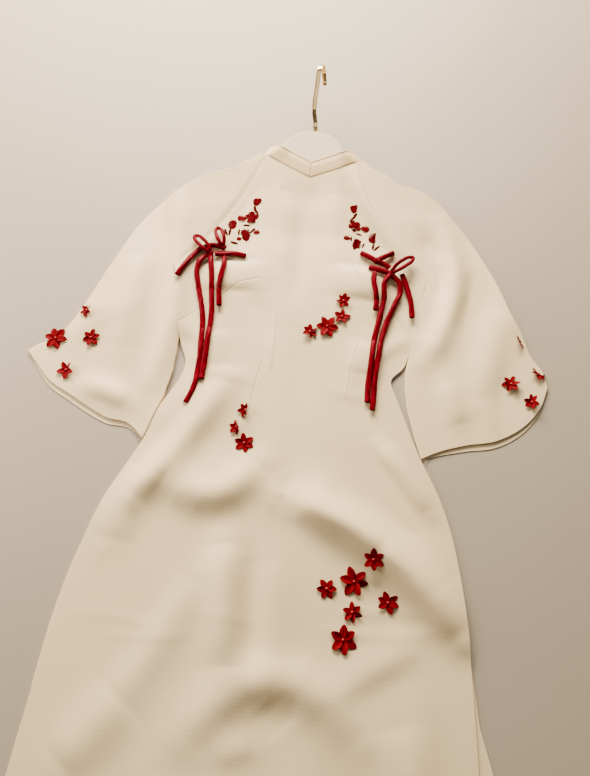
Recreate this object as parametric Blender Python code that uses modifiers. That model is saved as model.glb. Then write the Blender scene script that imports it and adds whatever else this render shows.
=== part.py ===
"""Ao dai tunic, laid flat on its back with its board hanger still in the neck.

Metres, +Z up. The front faces up, the collar points to +Y and the hem to -Y. Left and right
are as seen from the front. The tables are in millimetres: x from the middle of the whole
piece, y from the waist line. place() turns them into metres in the part's own frame.
"""
import math

import bmesh
import bpy
import numpy as np
from mathutils import Matrix

MM = 0.001
WAIST_Y = 0.1144  # the waist line's place in the part's frame

# Cloth and sewing sizes, in millimetres
CLOTH = 1.5
SEAM_GAP = 0.4
LAYER_GAP = 0.3
LAID = CLOTH + LAYER_GAP + CLOTH  # top of two layers that lie on each other
COLLAR_CLOTH = 2.2
COLLAR_X = 8.5  # the collar's middle
HEM_Y = -790.0
BACK_HEM_DROP = 7.0
CUFF_BACK_DROP = 10.0
NECK_BOW = 0.9  # under 1, the V neck's edges bow down a little
CORNER_CLEAR = 14.0  # no row of the sleeve's mesh is nearer its cuff's corner
FOLD_INSET_SHARE = 0.35  # a sleeve's rolled fold is this share of its height wide
OVER_ARM_INSET = 4.0  # and at most this wide over the arm
UNDER_ARM_INSET = 3.0  # and under it
FOLD_START = 0.01  # keeps the roll's first point off the layer's last one
CUFF_GROWTH = 8  # the lower layer's drop grows with this power down the sleeve
CUFF_BOW_GROWTH = 1.5  # and the cuff's bow with this one
COLLAR_BULGE = 0.6  # the stand collar is fuller halfway up

# Hanger sizes, in millimetres
BOARD_THICK = 7.0
BOARD_TILT = math.radians(10.0)
BOARD_LOW_Y = 312.0  # the line where the tilted board rests on the back
BOARD_MARGIN = 10.0  # how far the cloth stays up beyond the board's edge
BOARD_FALL = 100.0  # and how far it then takes to come down
BOARD_BRIDGE = 30.0  # how softly it bends where the tilt begins
HOOK_WIDE = 8.0
HOOK_THICK = 2.0
HOOK_RADIUS = 20.0
HOOK_TIP = 5.0
HOOK_SIDEWAYS = 11.0  # the hook is turned a little, so that its tip is beside its neck

# Ties and flowers, in millimetres
TIE = 8.0
LOOP = 5.5
REST_GAP = 1.0
KNOT_WIDE = 14.0
KNOT_HIGH = 10.0
FLOWER_THICK = 1.6
FLOWER_HEART = 1.0  # how far its middle stands up
PETAL_RISE = 4.0

# Meshes
PANEL_COLUMNS = 20
RAGLAN_ROWS = 9
SIDE_ROWS = 36
SLEEVE_COLUMNS = 8
ROLL_STEPS = 3
FINE_STEPS = 12
NECK_STEPS = 14
HOOK_TURN_STEPS = 10
LOOP_STEPS = 20
KNOT_AROUND = 12
KNOT_LEVELS = 8
PANEL_SHARP = math.radians(40)
SLEEVE_SHARP = math.radians(50)
FLOWER_SHARP = math.radians(35)

# The front's raglan seams. dip is how far the row's middle hangs below its ends.
RAGLAN = [
    # left_x, left_y, right_x, right_y, dip
    (-72, 395.4, 89, 395.4, 37.6),
    (-79, 362, 94, 365, 20),
    (-103, 320, 110, 327, 8),
    (-130, 272, 136, 283, 3),
    (-160, 228, 168, 239, 0),
    (-202, 170, 219, 184, 0),
]

# The front's side seams, then its slit edges below the hip
SIDES = [
    # left_x, left_y, right_x, right_y, dip
    (-202, 170, 219, 184, 0),
    (-198.5, 155, 215.5, 168, 0),
    (-195, 138, 212, 150, 0),
    (-183, 88, 202, 96, 0),
    (-178, 62, 197, 66, 0),
    (-170, 33, 188, 27, 0),
    (-157, -2, 167, -3, 0),
    (-162, -28, 177, -30, 0),
    (-171.5, -50, 185, -50, 0),
    (-181.5, -68, 194, -72, 0),
    (-201, -130, 218, -126, 0),
    (-222, -177, 243, -174, 0),
    (-244, -226, 261, -222, 0),
    (-260, -290, 276, -288, 0),
    (-270, -340, 284, -340, 0),
    (-278, -405, 291, -408, 0),
    (-285, -466, 296, -470, 0),
    (-296, -600, 304, -600, 0),
    (-306, HEM_Y, 312, HEM_Y, 4),
]

# How far each edge of the back goes past the front's, below the slits
BACK_SHIFT = [
    # y, left, right
    (-174, 0, 0),
    (-300, 3, 2),
    (-400, 5, 1),
    (-470, 2, 6),
    (-521, -3, 19),
    (-620, -9, 30),
    (HEM_Y, -16, 36),
]

# How far each sleeve's under-arm fold lies from the front's side seam
UNDER_ARM = [
    # y, left, right
    (170, 0.8, 0.8),
    (42, 1.2, 0.8),
    (24, 7.0, 3.5),
    (-2, 17.0, 22.0),
    (-16, 15.5, 19.0),
    (-33, 13.0, 13.5),
    (-49, 8.5, 10.0),
    (-63, 2.5, 8.0),
    (-75, 1.0, 6.5),
    (-95, 1.0, 4.0),
    (-130, 1.0, 1.0),
]

OVER_ARM_LEFT = [(-83, 397.5), (-95, 389), (-113, 379), (-122, 369), (-145, 362), (-188, 343),
                 (-236, 304), (-274, 251), (-305, 177), (-323, 129), (-335, 93), (-351, 54),
                 (-366, 29), (-399, 6), (-410, -4)]
CUFF_LEFT = [(-410, -4), (-394, -20), (-363, -51), (-329, -69), (-293, -88), (-262, -102),
             (-228, -108), (-202, -129)]
OVER_ARM_RIGHT = [(100, 397.5), (113, 386), (137, 377), (168, 359), (205, 350), (233, 335),
                  (257, 309), (283, 277), (307, 239), (333, 191), (358, 130), (374, 96),
                  (387, 60), (404, 36), (410, 12)]
CUFF_RIGHT = [(410, 12), (398, -22), (370, -57), (328, -83), (283, -94), (240, -109),
              (217, -121)]

# Soft folds: each is a rounded ridge along a line that bows to its left, or to its right if negative
RIDGES = [
    # name, x0, y0, x1, y1, bow, half_width, height
    ("chest swell", 8, 250, 6, 70, 0, 90, 3.0),
    ("skirt swell", 0, -130, 0, -640, 0, 140, 3.5),
    ("left bust", -108, 190, -104, 132, 0, 44, 9.0),
    ("right bust", 116, 196, 112, 136, 0, 46, 10.5),
    ("left of front crease", -34, 330, -26, 180, 0, 26, 3.9),
    ("right of front crease", 52, 330, 62, 190, 0, 26, 3.9),
    ("left waist", -118, 60, -112, 0, 0, 26, 4.5),
    ("right waist", 128, 62, 120, 6, 0, 24, 5.1),
    ("left hip, slanting", -90, -26, -198, -216, 7, 24, 12.5),
    ("left belly", -156, -186, -24, -152, -34, 28, 14.5),
    ("right belly", 16, -198, 276, -362, 29, 27, 16.0),
    ("right hip edge", 158, -108, 226, -200, 2, 16, 8.0),
    ("left of dent", -60, -272, -36, -428, 0, 25, 14.0),
    ("right of dent", 10, -286, 34, -410, 0, 24, 4.4),
    ("low arch", -76, -514, 144, -496, 69, 29, 11.0),
    ("left hem", -166, -481, -228, -560, 0, 34, 7.5),
    ("right hem", 190, -480, 226, -600, 0, 34, 6.9),
    ("middle hem", -20, -600, 10, -740, 0, 38, 7.5),
    ("far left hem", -200, -640, -226, -765, 0, 32, 5.4),
    ("left sleeve, inner", -222, 314, -200, -36, 20, 20, 9.4),
    ("left sleeve, middle", -266, 190, -262, 16, 0, 28, 7.0),
    ("left cuff", -318, -50, -236, -76, 5, 20, 6.3),
    ("right sleeve, inner", 240, 288, 220, 38, 36, 21, 10.5),
    ("right sleeve, outer", 342, 140, 306, -18, 0, 28, 6.6),
    ("right cuff", 252, 4, 276, -62, 0, 18, 5.4),
]
BOW_STEPS = 6
END_FADE = 0.65  # how much of a fold's height is gone at its two ends

BOARD_HALF = [(0, 451.5), (24, 448.5), (43, 436), (54, 419), (60, 405), (68, 392), (80, 381),
              (104, 368), (144, 349), (174, 335), (186, 327), (188, 320), (182, 314.5),
              (168, 313.5), (130, 321), (80, 333), (40, 340), (0, 342)]

# The collar's outer face from the centre front round to the centre back, on one side
COLLAR = [
    # base_x, base_y, base_z, top_x, top_y, top_z
    (0, 360.6, 20.2, 0, 388, 26.6),
    (44, 378.6, 23.8, 36, 404, 29.6),
    (76, 394.0, 27.4, 62, 413, 31.4),
    (90, 399.5, 15.0, 76, 417.5, 20.5),
    (78, 403, 5.0, 64, 420, 10.5),
    (40, 405, 4.2, 34, 424, 12.0),
    (0, 406, 4.2, 0, 426, 13.0),
]
COLLAR_STEPS = 18

# The hook's middle line up to where it turns over
HOOK_NECK = [
    # x, y, z
    (9.5, 452.0, 30.2),
    (8.5, 462.0, 32.0),
    (6.8, 472.0, 37.5),
    (4.6, 479.0, 46.0),
    (4.2, 489.0, 51.5),
    (5.6, 517.0, 64.0),
    (6.4, 541.0, 74.9),
]
KNOTS = {
    "left_outer": (-145, 197),
    "left_inner": (-125, 210),
    "right_inner": (133, 207),
    "right_outer": (158, 185),
}

LOOPS = [
    # name, knot, direction in degrees, length
    ("loop_left_outer", "left_outer", 136, 42),
    ("loop_left_inner", "left_inner", 112, 38),
    ("loop_right_outer", "right_outer", 43, 48),
]

# Half of a bow's loop, from its knot to its far turn, as shares of its length along it
LOOP_HALF = [
    # along, half_wide, high
    (0.20, 4.0, 7.0),
    (0.35, 5.4, 9.0),
    (0.62, 5.8, 8.0),
    (0.84, 5.0, 6.0),
    (1.0, 0.0, 4.0),
]

# Each tie's route over the cloth; lift is how far it stands off its rest
TIES = {
    # x, y, lift
    "tie_left_side": [(-133, 211, 1.5), (-142, 213.5, 1), (-152, 212, 0), (-163, 205, 0),
                      (-172, 193, 0), (-183, 171, 0), (-193, 147, 0)],
    "tie_left_stub": [(-137, 196, 1.5), (-124, 196.5, 1), (-106, 199, 0.5), (-85, 197, 0)],
    "tie_left_long": [(-151, 191, 1.5), (-160, 181, 1.2), (-163, 166, 0.4), (-157, 136, 0),
                      (-147, 104, 0), (-140, 69, 0), (-136, 24, 0), (-135, -12, 0),
                      (-136, -34, 0), (-140, -52, 0), (-146, -69, 0)],
    "tie_left_second": [(-143.5, 189, 1.5), (-139, 166, 0.5), (-133, 127, 0), (-127, 71, 0),
                        (-126.8, 25, 0), (-126.3, -7, 0.5), (-127, -28, 1)],
    "tie_left_short": [(-121, 191.5, 0.8), (-119, 177, 0.8), (-120, 158, 0.8), (-121, 128, 0.8),
                       (-117.5, 101, 0.6)],
    "tie_right_up": [(126, 211, 1.5), (117, 215.5, 1), (106, 221, 0)],
    "tie_right_stub": [(139, 213.5, 2), (149, 219, 1.5), (161, 227, 1)],
    "tie_right_band": [(141, 203.5, 1), (149, 202, 1), (155.5, 197, 1)],
    "tie_right_left": [(150, 186, 1.5), (137, 190, 1), (121, 194, 0)],
    "tie_right_inner": [(130.5, 183, 0.6), (130, 168, 0.8), (134, 150, 1.2), (136.5, 130, 1.2),
                        (136, 116, 1)],
    "tie_right_long": [(153, 178.5, 1.5), (148.5, 168, 1), (148.5, 136, 0), (144, 107, 0),
                       (138, 74, 0), (135, 40, 0), (132, -2, 0), (131.5, -41, 0)],
    "tie_right_second": [(163, 178.5, 1.5), (173, 168, 1), (174.5, 153, 0), (168, 133, 0),
                         (157, 103, 0), (148.5, 67, 0), (144, 30, 0), (141, -13, 0),
                         (140.2, -53, 0)],
    "tie_right_short": [(176, 187, 0.5), (184, 169, 0.5), (192, 141, 1), (195.5, 109, 1.5)],
}

# A petal's rim: how far it reaches, as a share of the flower's width, and where round the petal
PETAL_RIM = [
    # reach, share of the petal's angle
    (0.14, 0.0),
    (0.27, 0.10),
    (0.40, 0.28),
    (0.5, 0.5),
    (0.40, 0.72),
    (0.27, 0.90),
]

FLOWERS = [
    # name, x, y, width, petals, turn in degrees
    ("chest_1", 84, 129, 27, 6, 45),
    ("chest_2", 83, 101, 27, 5, 46),
    ("chest_3", 61, 82, 38, 6, 30),
    ("chest_4", 34, 70, 27, 6, 2),
    ("belly_1", -53, -71, 25, 6, 40),
    ("belly_2", -63, -99, 24, 6, 15),
    ("belly_3", -48, -123, 30, 6, 17),
    ("skirt_1", 152, -274, 30, 6, 5),
    ("skirt_2", 128, -305, 40, 6, 23),
    ("skirt_3", 91, -318, 29, 6, 35),
    ("skirt_4", 176, -328, 30, 6, 12),
    ("skirt_5", 128, -345, 28, 6, 10),
    ("skirt_6", 118, -381, 39, 6, 8),
    ("sleeve_left_1", -329, 72, 24, 6, 0),
    ("sleeve_left_2", -370, 20, 38, 6, 25),
    ("sleeve_left_3", -313, 26, 29, 6, 50),
    ("sleeve_left_4", -341, -32, 31, 5, 20),
    ("sleeve_right_1", 368, 84, 23, 6, 30),
    ("sleeve_right_2", 353, 11, 29, 6, 40),
    ("sleeve_right_3", 384, -16, 26, 6, 10),
    ("sleeve_right_4", 396, 32, 25, 6, 40),
]


def place(x, y, z):
    """Millimetres from the middle and the waist line, as metres in the part's frame."""
    return (x * MM, y * MM + WAIST_Y, z * MM)


def curve_through(points, steps):
    """steps + 1 rows, evenly spaced, on a smooth curve through the given rows."""
    rows = np.array(points, float)
    spans = np.linalg.norm(np.diff(rows[:, :2], axis=0), axis=1)
    slopes = np.gradient(rows, np.concatenate([[0], np.cumsum(spans)]), axis=0)
    fine = []
    for i, span in enumerate(spans):
        for t in np.linspace(0, 1, FINE_STEPS, endpoint=False):
            fine.append(rows[i] * (2 * t ** 3 - 3 * t ** 2 + 1)
                        + rows[i + 1] * (3 * t ** 2 - 2 * t ** 3)
                        + slopes[i] * span * (t ** 3 - 2 * t ** 2 + t)
                        + slopes[i + 1] * span * (t ** 3 - t ** 2))
    fine = np.array(fine + [rows[-1]])
    far = np.concatenate([[0], np.cumsum(np.linalg.norm(np.diff(fine[:, :2], axis=0), axis=1))])
    even = np.linspace(0, far[-1], steps + 1)
    return np.array([np.interp(even, far, fine[:, k]) for k in range(fine.shape[1])]).T


def ease(share):
    """0 to 1 with a soft start and end."""
    share = min(max(share, 0.0), 1.0)
    return share * share * (3 - 2 * share)


def off_segment(p, a, b):
    """Distance from the point p to the line from a to b, and where along it that is, 0 to 1."""
    along = b - a
    share = min(max(np.dot(p - a, along) / np.dot(along, along), 0.0), 1.0)
    return float(np.linalg.norm(p - a - share * along)), share


def board_outline():
    """The hanger board's outline, closed, from its two halves."""
    right = [(COLLAR_X + x, y) for x, y in BOARD_HALF]
    left = [(COLLAR_X - x, y) for x, y in BOARD_HALF[-2:0:-1]]
    return np.array(right + left, float)


BOARD = board_outline()


def board_top(y):
    """Height of the tilted board's upper face."""
    return CLOTH + LAYER_GAP + max(y - BOARD_LOW_Y, 0) * math.tan(BOARD_TILT) + BOARD_THICK


def off_board(x, y):
    """Distance from the board's outline, 0 on the board."""
    p = np.array([x, y], float)
    ends = np.roll(BOARD, -1, axis=0)
    inside = False
    for a, b in zip(BOARD, ends):
        if (a[1] > y) != (b[1] > y) and x < (b[0] - a[0]) * (y - a[1]) / (b[1] - a[1]) + a[0]:
            inside = not inside
    return 0.0 if inside else min(off_segment(p, a, b)[0] for a, b in zip(BOARD, ends))


def bowed_line(x0, y0, x1, y1, bow):
    """A line that bows to its left between two points."""
    a, b = np.array([x0, y0], float), np.array([x1, y1], float)
    left = np.array([a[1] - b[1], b[0] - a[0]]) / np.linalg.norm(b - a)
    share = np.linspace(0, 1, BOW_STEPS + 1)[:, None]
    return a + (b - a) * share + left * bow * 4 * share * (1 - share)


def off_bowed_line(p, line):
    """Distance from the point p to a line of points, and where along it that is, 0 to 1."""
    nearest = [(*off_segment(p, a, b), i) for i, (a, b) in enumerate(zip(line, line[1:]))]
    away, share, i = min(nearest)
    return away, (i + share) / (len(line) - 1)


def cloth_top(x, y):
    """Height of the tunic's upper face: two layers, the board under them and soft folds."""
    p = np.array([x, y], float)
    height = LAID
    for _, x0, y0, x1, y1, bow, half_width, high in RIDGES:
        away, share = off_bowed_line(p, bowed_line(x0, y0, x1, y1, bow))
        fade = 1 - END_FADE * abs(2 * share - 1) ** 3
        height += high * fade * math.exp(-(away / half_width) ** 2)
    share = ease(1 - (off_board(x, y) - BOARD_MARGIN) / BOARD_FALL)
    above_low = y - BOARD_LOW_Y
    bridged = (above_low + math.hypot(above_low, BOARD_BRIDGE)) / 2
    over_board = board_top(BOARD_LOW_Y + bridged) + CLOTH + 2 * LAYER_GAP
    return height + share * (over_board - LAID)


def front_rows():
    """The front's rows of points, left to right and from the neck to the hem."""
    edges = np.vstack([curve_through(RAGLAN, RAGLAN_ROWS), curve_through(SIDES, SIDE_ROWS)[1:]])
    rows = []
    for left_x, left_y, right_x, right_y, dip in edges:
        row = []
        for u in np.linspace(0, 1, PANEL_COLUMNS + 1):
            x = left_x + (right_x - left_x) * u
            y = left_y + (right_y - left_y) * u - dip * (1 - abs(2 * u - 1)) ** NECK_BOW
            row.append((x, y))
        rows.append(row)
    return rows


def new_object(name, mesh, material, group):
    """A named object for a mesh, with its material, in the tunic's collection."""
    mesh.materials.append(material)
    made = bpy.data.objects.new(name, mesh)
    group.objects.link(made)
    return made


def mesh_of(name, points, faces):
    """A mesh of points in millimetres, with its faces turned outwards."""
    mesh = bpy.data.meshes.new(name)
    mesh.from_pydata([place(*p) for p in points], [], faces)
    shell = bmesh.new()
    shell.from_mesh(mesh)
    bmesh.ops.recalc_face_normals(shell, faces=shell.faces)
    if shell.calc_volume(signed=True) < 0:
        bmesh.ops.reverse_faces(shell, faces=shell.faces)
    shell.to_mesh(mesh)
    shell.free()
    mesh.shade_smooth()
    return mesh


def grid_faces(rows, columns, start=0):
    """The quads of a grid with this many rows and columns of quads."""
    wide = columns + 1
    return [(start + r * wide + c, start + r * wide + c + 1,
             start + (r + 1) * wide + c + 1, start + (r + 1) * wide + c)
            for r in range(rows) for c in range(columns)]


def front_panel(material, group):
    """The front: one sheet from the V neck to the hem, thickened downwards."""
    rows = front_rows()
    points = [(x, y, cloth_top(x, y)) for row in rows for x, y in row]
    sheet = bmesh.new()
    corners = [sheet.verts.new(place(*p)) for p in points]
    for face in grid_faces(len(rows) - 1, PANEL_COLUMNS):
        sheet.faces.new([corners[i] for i in face])
    under = bmesh.ops.extrude_face_region(sheet, geom=sheet.faces[:])
    lowered = [v for v in under["geom"] if isinstance(v, bmesh.types.BMVert)]
    bmesh.ops.translate(sheet, verts=lowered, vec=(0, 0, -CLOTH * MM))
    bmesh.ops.recalc_face_normals(sheet, faces=sheet.faces)
    mesh = bpy.data.meshes.new("front_panel")
    sheet.to_mesh(mesh)
    sheet.free()
    mesh.shade_smooth()
    mesh.set_sharp_from_angle(angle=PANEL_SHARP)
    return new_object("front_panel", mesh, material, group)


def flat_solid(name, outline, low, thick, material, group):
    """A flat outline in millimetres, filled and made thick from the height low upwards."""
    curve = bpy.data.curves.new(name, "CURVE")
    curve.dimensions = "2D"
    curve.fill_mode = "BOTH"
    curve.extrude = thick / 2 * MM
    line = curve.splines.new("POLY")
    line.points.add(len(outline) - 1)
    for point, (x, y) in zip(line.points, outline):
        point.co = (*place(x, y, 0), 1)
    line.use_cyclic_u = True
    curve.materials.append(material)
    made = bpy.data.objects.new(name, curve)
    made.location.z = (low + thick / 2) * MM
    group.objects.link(made)
    return made


def back_panel(material, group):
    """The back: flat on the surface, a little askew under the front."""
    shift = np.array(BACK_SHIFT, float)
    levels = -shift[:, 0]
    edges = np.vstack([curve_through(RAGLAN, RAGLAN_ROWS), curve_through(SIDES, SIDE_ROWS)[1:]])
    left, right = [], []
    for left_x, left_y, right_x, right_y, _ in edges:
        left.append((left_x - np.interp(-left_y, levels, shift[:, 1]), left_y))
        right.append((right_x + np.interp(-right_y, levels, shift[:, 2]), right_y))
    hem = [(0, HEM_Y - BACK_HEM_DROP - 2)]
    left[-1] = (left[-1][0], HEM_Y - BACK_HEM_DROP)
    right[-1] = (right[-1][0], HEM_Y - BACK_HEM_DROP)
    neck = [(52, 402.5), (COLLAR_X, 404.5), (-35, 402.5)]
    outline = left + hem + right[::-1] + neck
    return flat_solid("back_panel", outline, 0.0, CLOTH, material, group)


def outwards(line, distance, side):
    """The line moved sideways in plan, to -X for side -1 and to +X for side 1."""
    line = np.array(line, float)
    along = np.gradient(line, axis=0)
    along /= np.linalg.norm(along, axis=1)[:, None]
    across = np.column_stack([-along[:, 1], along[:, 0]])
    across *= np.where(across[:, :1] * side < 0, -1, 1)
    return line + distance * across


def under_arm(side, corner):
    """The sleeve's under-arm fold beside the front's side seam, down to the cuff's corner."""
    table = np.array(UNDER_ARM, float)
    column = 1 if side < 0 else 2
    line = []
    for row in curve_through(SIDES, SIDE_ROWS):
        x, y = row[:2] if side < 0 else row[2:4]
        if y > corner[1] + CORNER_CLEAR:
            line.append((x + side * np.interp(-y, -table[:, 0], table[:, column]), y))
    return np.array(line[1:] + [corner])


def sleeve_rows(seam, over, under, cuff):
    """Rows of points from the over-arm fold to the seam, then to the under-arm fold."""
    below_seam = len(under)
    over_line = curve_through(over, RAGLAN_ROWS + below_seam)
    inner_line = np.vstack([seam, under])
    cuff_line = curve_through(cuff, SLEEVE_COLUMNS)
    shares = np.linspace(0, 1, SLEEVE_COLUMNS + 1)[:, None]
    bow = cuff_line - (cuff_line[0] * (1 - shares) + cuff_line[-1] * shares)
    rows = []
    for j, (first, last) in enumerate(zip(over_line, inner_line)):
        below = max(j - RAGLAN_ROWS, 0) / below_seam
        rows.append(first * (1 - shares) + last * shares + bow * below ** CUFF_BOW_GROWTH)
    return rows


def sleeve_loop(ring, v, sewn):
    """A row's section as (outer, inner) loops: upper layer, under-arm fold, lower, over-arm."""
    first, last = np.array(ring[0]), np.array(ring[-1])
    from_first = (ring[1] - first) / np.linalg.norm(ring[1] - first)
    from_last = (ring[-2] - last) / np.linalg.norm(ring[-2] - last)
    tops = [cloth_top(*p) for p in ring]
    over_inset = min(FOLD_INSET_SHARE * tops[0], OVER_ARM_INSET)
    under_inset = 0 if sewn else min(FOLD_INSET_SHARE * tops[-1], UNDER_ARM_INSET)
    plan = [np.array(p) for p in ring]
    plan[0] = first + from_first * over_inset
    plan[-1] = last + from_last * under_inset
    drop = np.array([0, -CUFF_BACK_DROP * v ** CUFF_GROWTH])

    def fold(edge, inwards, reach, high, thick):
        made = []
        for step in range(1, ROLL_STEPS + 1):
            angle = math.pi * (0.5 - step / (ROLL_STEPS + 1))
            spot = edge + inwards * (reach - (reach - thick) * math.cos(angle))
            middle, half = high / 2, high / 2 - thick
            made.append((*spot, middle + half * math.sin(angle)))
        return made

    loops = []
    for thick in (0.0, CLOTH):
        upper = [(*p, z - thick) for p, z in zip(plan, tops)]
        lower = [(*(p + drop * math.sin(math.pi * i / (len(plan) - 1)) ** 0.5), thick)
                 for i, p in enumerate(plan)][::-1]
        under_fold = fold(last, from_last, under_inset + FOLD_START, tops[-1], thick)
        over_fold = fold(first, from_first, over_inset + FOLD_START, tops[0], thick)[::-1]
        loops.append(upper + under_fold + lower + over_fold)
    return loops


def sleeve(name, side, over, cuff, material, group):
    """A flattened sleeve: open along its raglan seam, a tube below the arm, open at its cuff."""
    edges = curve_through(RAGLAN, RAGLAN_ROWS)
    seam = edges[:, :2] if side < 0 else edges[:, 2:4]
    rows = sleeve_rows(outwards(seam, SEAM_GAP, side), over, under_arm(side, cuff[-1]), cuff)
    outer, inner = [], []
    for j, row in enumerate(rows):
        out_loop, in_loop = sleeve_loop(row, j / (len(rows) - 1), j <= RAGLAN_ROWS)
        outer.append(out_loop)
        inner.append(in_loop)
    around = len(outer[0])
    wide = SLEEVE_COLUMNS + 1
    under_fold = range(wide - 1, wide + ROLL_STEPS)
    inside = len(rows) * around
    points = [p for loop in outer + inner for p in loop]
    faces = []
    for j in range(len(rows) - 1):
        here, there = j * around, (j + 1) * around
        for i in range(around):
            k = (i + 1) % around
            if j < RAGLAN_ROWS and i in under_fold:
                continue
            faces.append((here + i, here + k, there + k, there + i))
            faces.append((inside + here + i, inside + there + i, inside + there + k,
                          inside + here + k))
        if j < RAGLAN_ROWS:
            for i in (under_fold[0], under_fold[-1] + 1):
                faces.append((here + i, there + i, inside + there + i, inside + here + i))
    for j in (0, RAGLAN_ROWS, len(rows) - 1):
        for i in range(around):
            k = (i + 1) % around
            if (j == 0 and i in under_fold) or (j == RAGLAN_ROWS and i not in under_fold):
                continue
            a, b = j * around + i, j * around + k
            faces.append((a, b, inside + b, inside + a))
    mesh = mesh_of(name, points, faces)
    mesh.set_sharp_from_angle(angle=SLEEVE_SHARP)
    return new_object(name, mesh, material, group)


def collar_half(name, side, material, group):
    """Half of the stand collar, from the centre front seam round to the centre back."""
    stations = curve_through(COLLAR, COLLAR_STEPS)
    stations[0, [0, 3]] = SEAM_GAP / 2
    stations[-1, [0, 3]] = SEAM_GAP / 2
    points = []
    for base_x, base_y, base_z, top_x, top_y, top_z in stations:
        for share in (0, 0.5, 1):
            x = base_x + (top_x - base_x) * share
            y = base_y + (top_y - base_y) * share
            z = base_z + (top_z - base_z) * share + (COLLAR_BULGE if share == 0.5 else 0)
            points.append((COLLAR_X + side * x, y, z))
    faces = grid_faces(COLLAR_STEPS, 2)
    if side > 0:
        faces = [face[::-1] for face in faces]
    mesh = bpy.data.meshes.new(name)
    mesh.from_pydata([place(*p) for p in points], [], faces)
    mesh.shade_smooth()
    band = new_object(name, mesh, material, group)
    wall = band.modifiers.new("wall", "SOLIDIFY")
    wall.thickness = COLLAR_CLOTH * MM
    wall.offset = -1
    return band


def hanger(material, group):
    """A flat board with a domed head and two sloping arms, tilted up towards its head."""
    board = flat_solid("hanger", BOARD, 0.0, BOARD_THICK, material, group)
    low_edge = place(0, BOARD_LOW_Y, CLOTH + LAYER_GAP)
    board.data.transform(Matrix.Translation((0, -low_edge[1], BOARD_THICK / 2 * MM)))
    board.location = low_edge
    board.rotation_euler.x = BOARD_TILT
    return board


def hook_line():
    """The hook's middle line: its neck, then a half circle over and down to its tip."""
    neck = curve_through(HOOK_NECK, NECK_STEPS)
    start = neck[-1]
    along = (start - neck[-2])[1:] / np.linalg.norm((start - neck[-2])[1:])
    up = np.array([-along[1], along[0]])
    centre = start[1:] - HOOK_RADIUS * up
    line = [tuple(p) for p in neck]
    for angle in np.linspace(0, math.pi, HOOK_TURN_STEPS + 1)[1:]:
        y, z = centre + HOOK_RADIUS * (math.cos(angle) * up + math.sin(angle) * along)
        line.append((start[0] + HOOK_SIDEWAYS * angle / math.pi, y, z))
    last = np.array(line[-1])
    line.append((last[0], *(last[1:] - HOOK_TIP * along)))
    return np.array(line)


def hanger_hook(material, group):
    """The hook: a flat metal strip bent along its line."""
    line = hook_line()
    along = np.gradient(line[:, 1:], axis=0)
    along /= np.linalg.norm(along, axis=1)[:, None]
    points = []
    for (x, y, z), (dy, dz) in zip(line, along):
        for wide, thick in ((-1, -1), (1, -1), (1, 1), (-1, 1)):
            points.append((x + wide * HOOK_WIDE / 2,
                           y - dz * thick * HOOK_THICK / 2,
                           z + dy * thick * HOOK_THICK / 2))
    faces = [(0, 1, 2, 3), tuple(4 * len(line) - n for n in (4, 3, 2, 1))]
    for j in range(len(line) - 1):
        for i in range(4):
            k = (i + 1) % 4
            faces.append((4 * j + i, 4 * j + k, 4 * j + 4 + k, 4 * j + 4 + i))
    mesh = mesh_of("hanger_hook", points, faces)
    mesh.set_sharp_from_angle(angle=SLEEVE_SHARP)
    return new_object("hanger_hook", mesh, material, group)


def tube(name, line, diameter, material, group):
    """A soft cord along a line of points in millimetres."""
    curve = bpy.data.curves.new(name, "CURVE")
    curve.dimensions = "3D"
    curve.bevel_depth = diameter / 2 * MM
    curve.bevel_resolution = 2
    curve.use_fill_caps = True
    path = curve.splines.new("POLY")
    path.points.add(len(line) - 1)
    for point, (x, y, z) in zip(path.points, line):
        point.co = (*place(x, y, z), 1)
    path.use_smooth = True
    curve.materials.append(material)
    made = bpy.data.objects.new(name, curve)
    group.objects.link(made)
    return made


def tie(name, route, material, group):
    """A tie that lies on the cloth along its route."""
    length = sum(math.dist(a[:2], b[:2]) for a, b in zip(route, route[1:]))
    steps = max(4, round(length / (2 * TIE)))
    line = [(x, y, cloth_top(x, y) + REST_GAP + TIE / 2 + lift)
            for x, y, lift in curve_through(route, steps)]
    return tube(name, line, TIE, material, group)


def loop(name, knot, degrees, length, material, group):
    """A bow's loop: out from its knot, round a narrow turn and back, standing off the cloth."""
    centre = np.array(KNOTS[knot], float)
    out = np.array([math.cos(math.radians(degrees)), math.sin(math.radians(degrees))])
    across = np.array([-out[1], out[0]])
    half = [(along * length, wide, high) for along, wide, high in LOOP_HALF]
    stations = half + [(far, -wide, high) for far, wide, high in half[-2::-1]]
    flat = [(*(centre + far * out + wide * across), high) for far, wide, high in stations]
    base = cloth_top(*centre) + REST_GAP
    line = [(x, y, base + LOOP / 2 + high) for x, y, high in curve_through(flat, LOOP_STEPS)]
    return tube(name, line, LOOP, material, group)


def knot(name, x, y, material, group):
    """A knot: a small rounded lump on the cloth."""
    mesh = bpy.data.meshes.new(name)
    lump = bmesh.new()
    bmesh.ops.create_uvsphere(lump, u_segments=KNOT_AROUND, v_segments=KNOT_LEVELS, radius=0.5)
    bmesh.ops.scale(lump, verts=lump.verts, vec=(KNOT_WIDE * MM, KNOT_WIDE * MM, KNOT_HIGH * MM))
    lump.to_mesh(mesh)
    lump.free()
    mesh.shade_smooth()
    made = new_object(name, mesh, material, group)
    made.location = place(x, y, cloth_top(x, y) + REST_GAP + KNOT_HIGH / 2)
    return made


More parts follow.
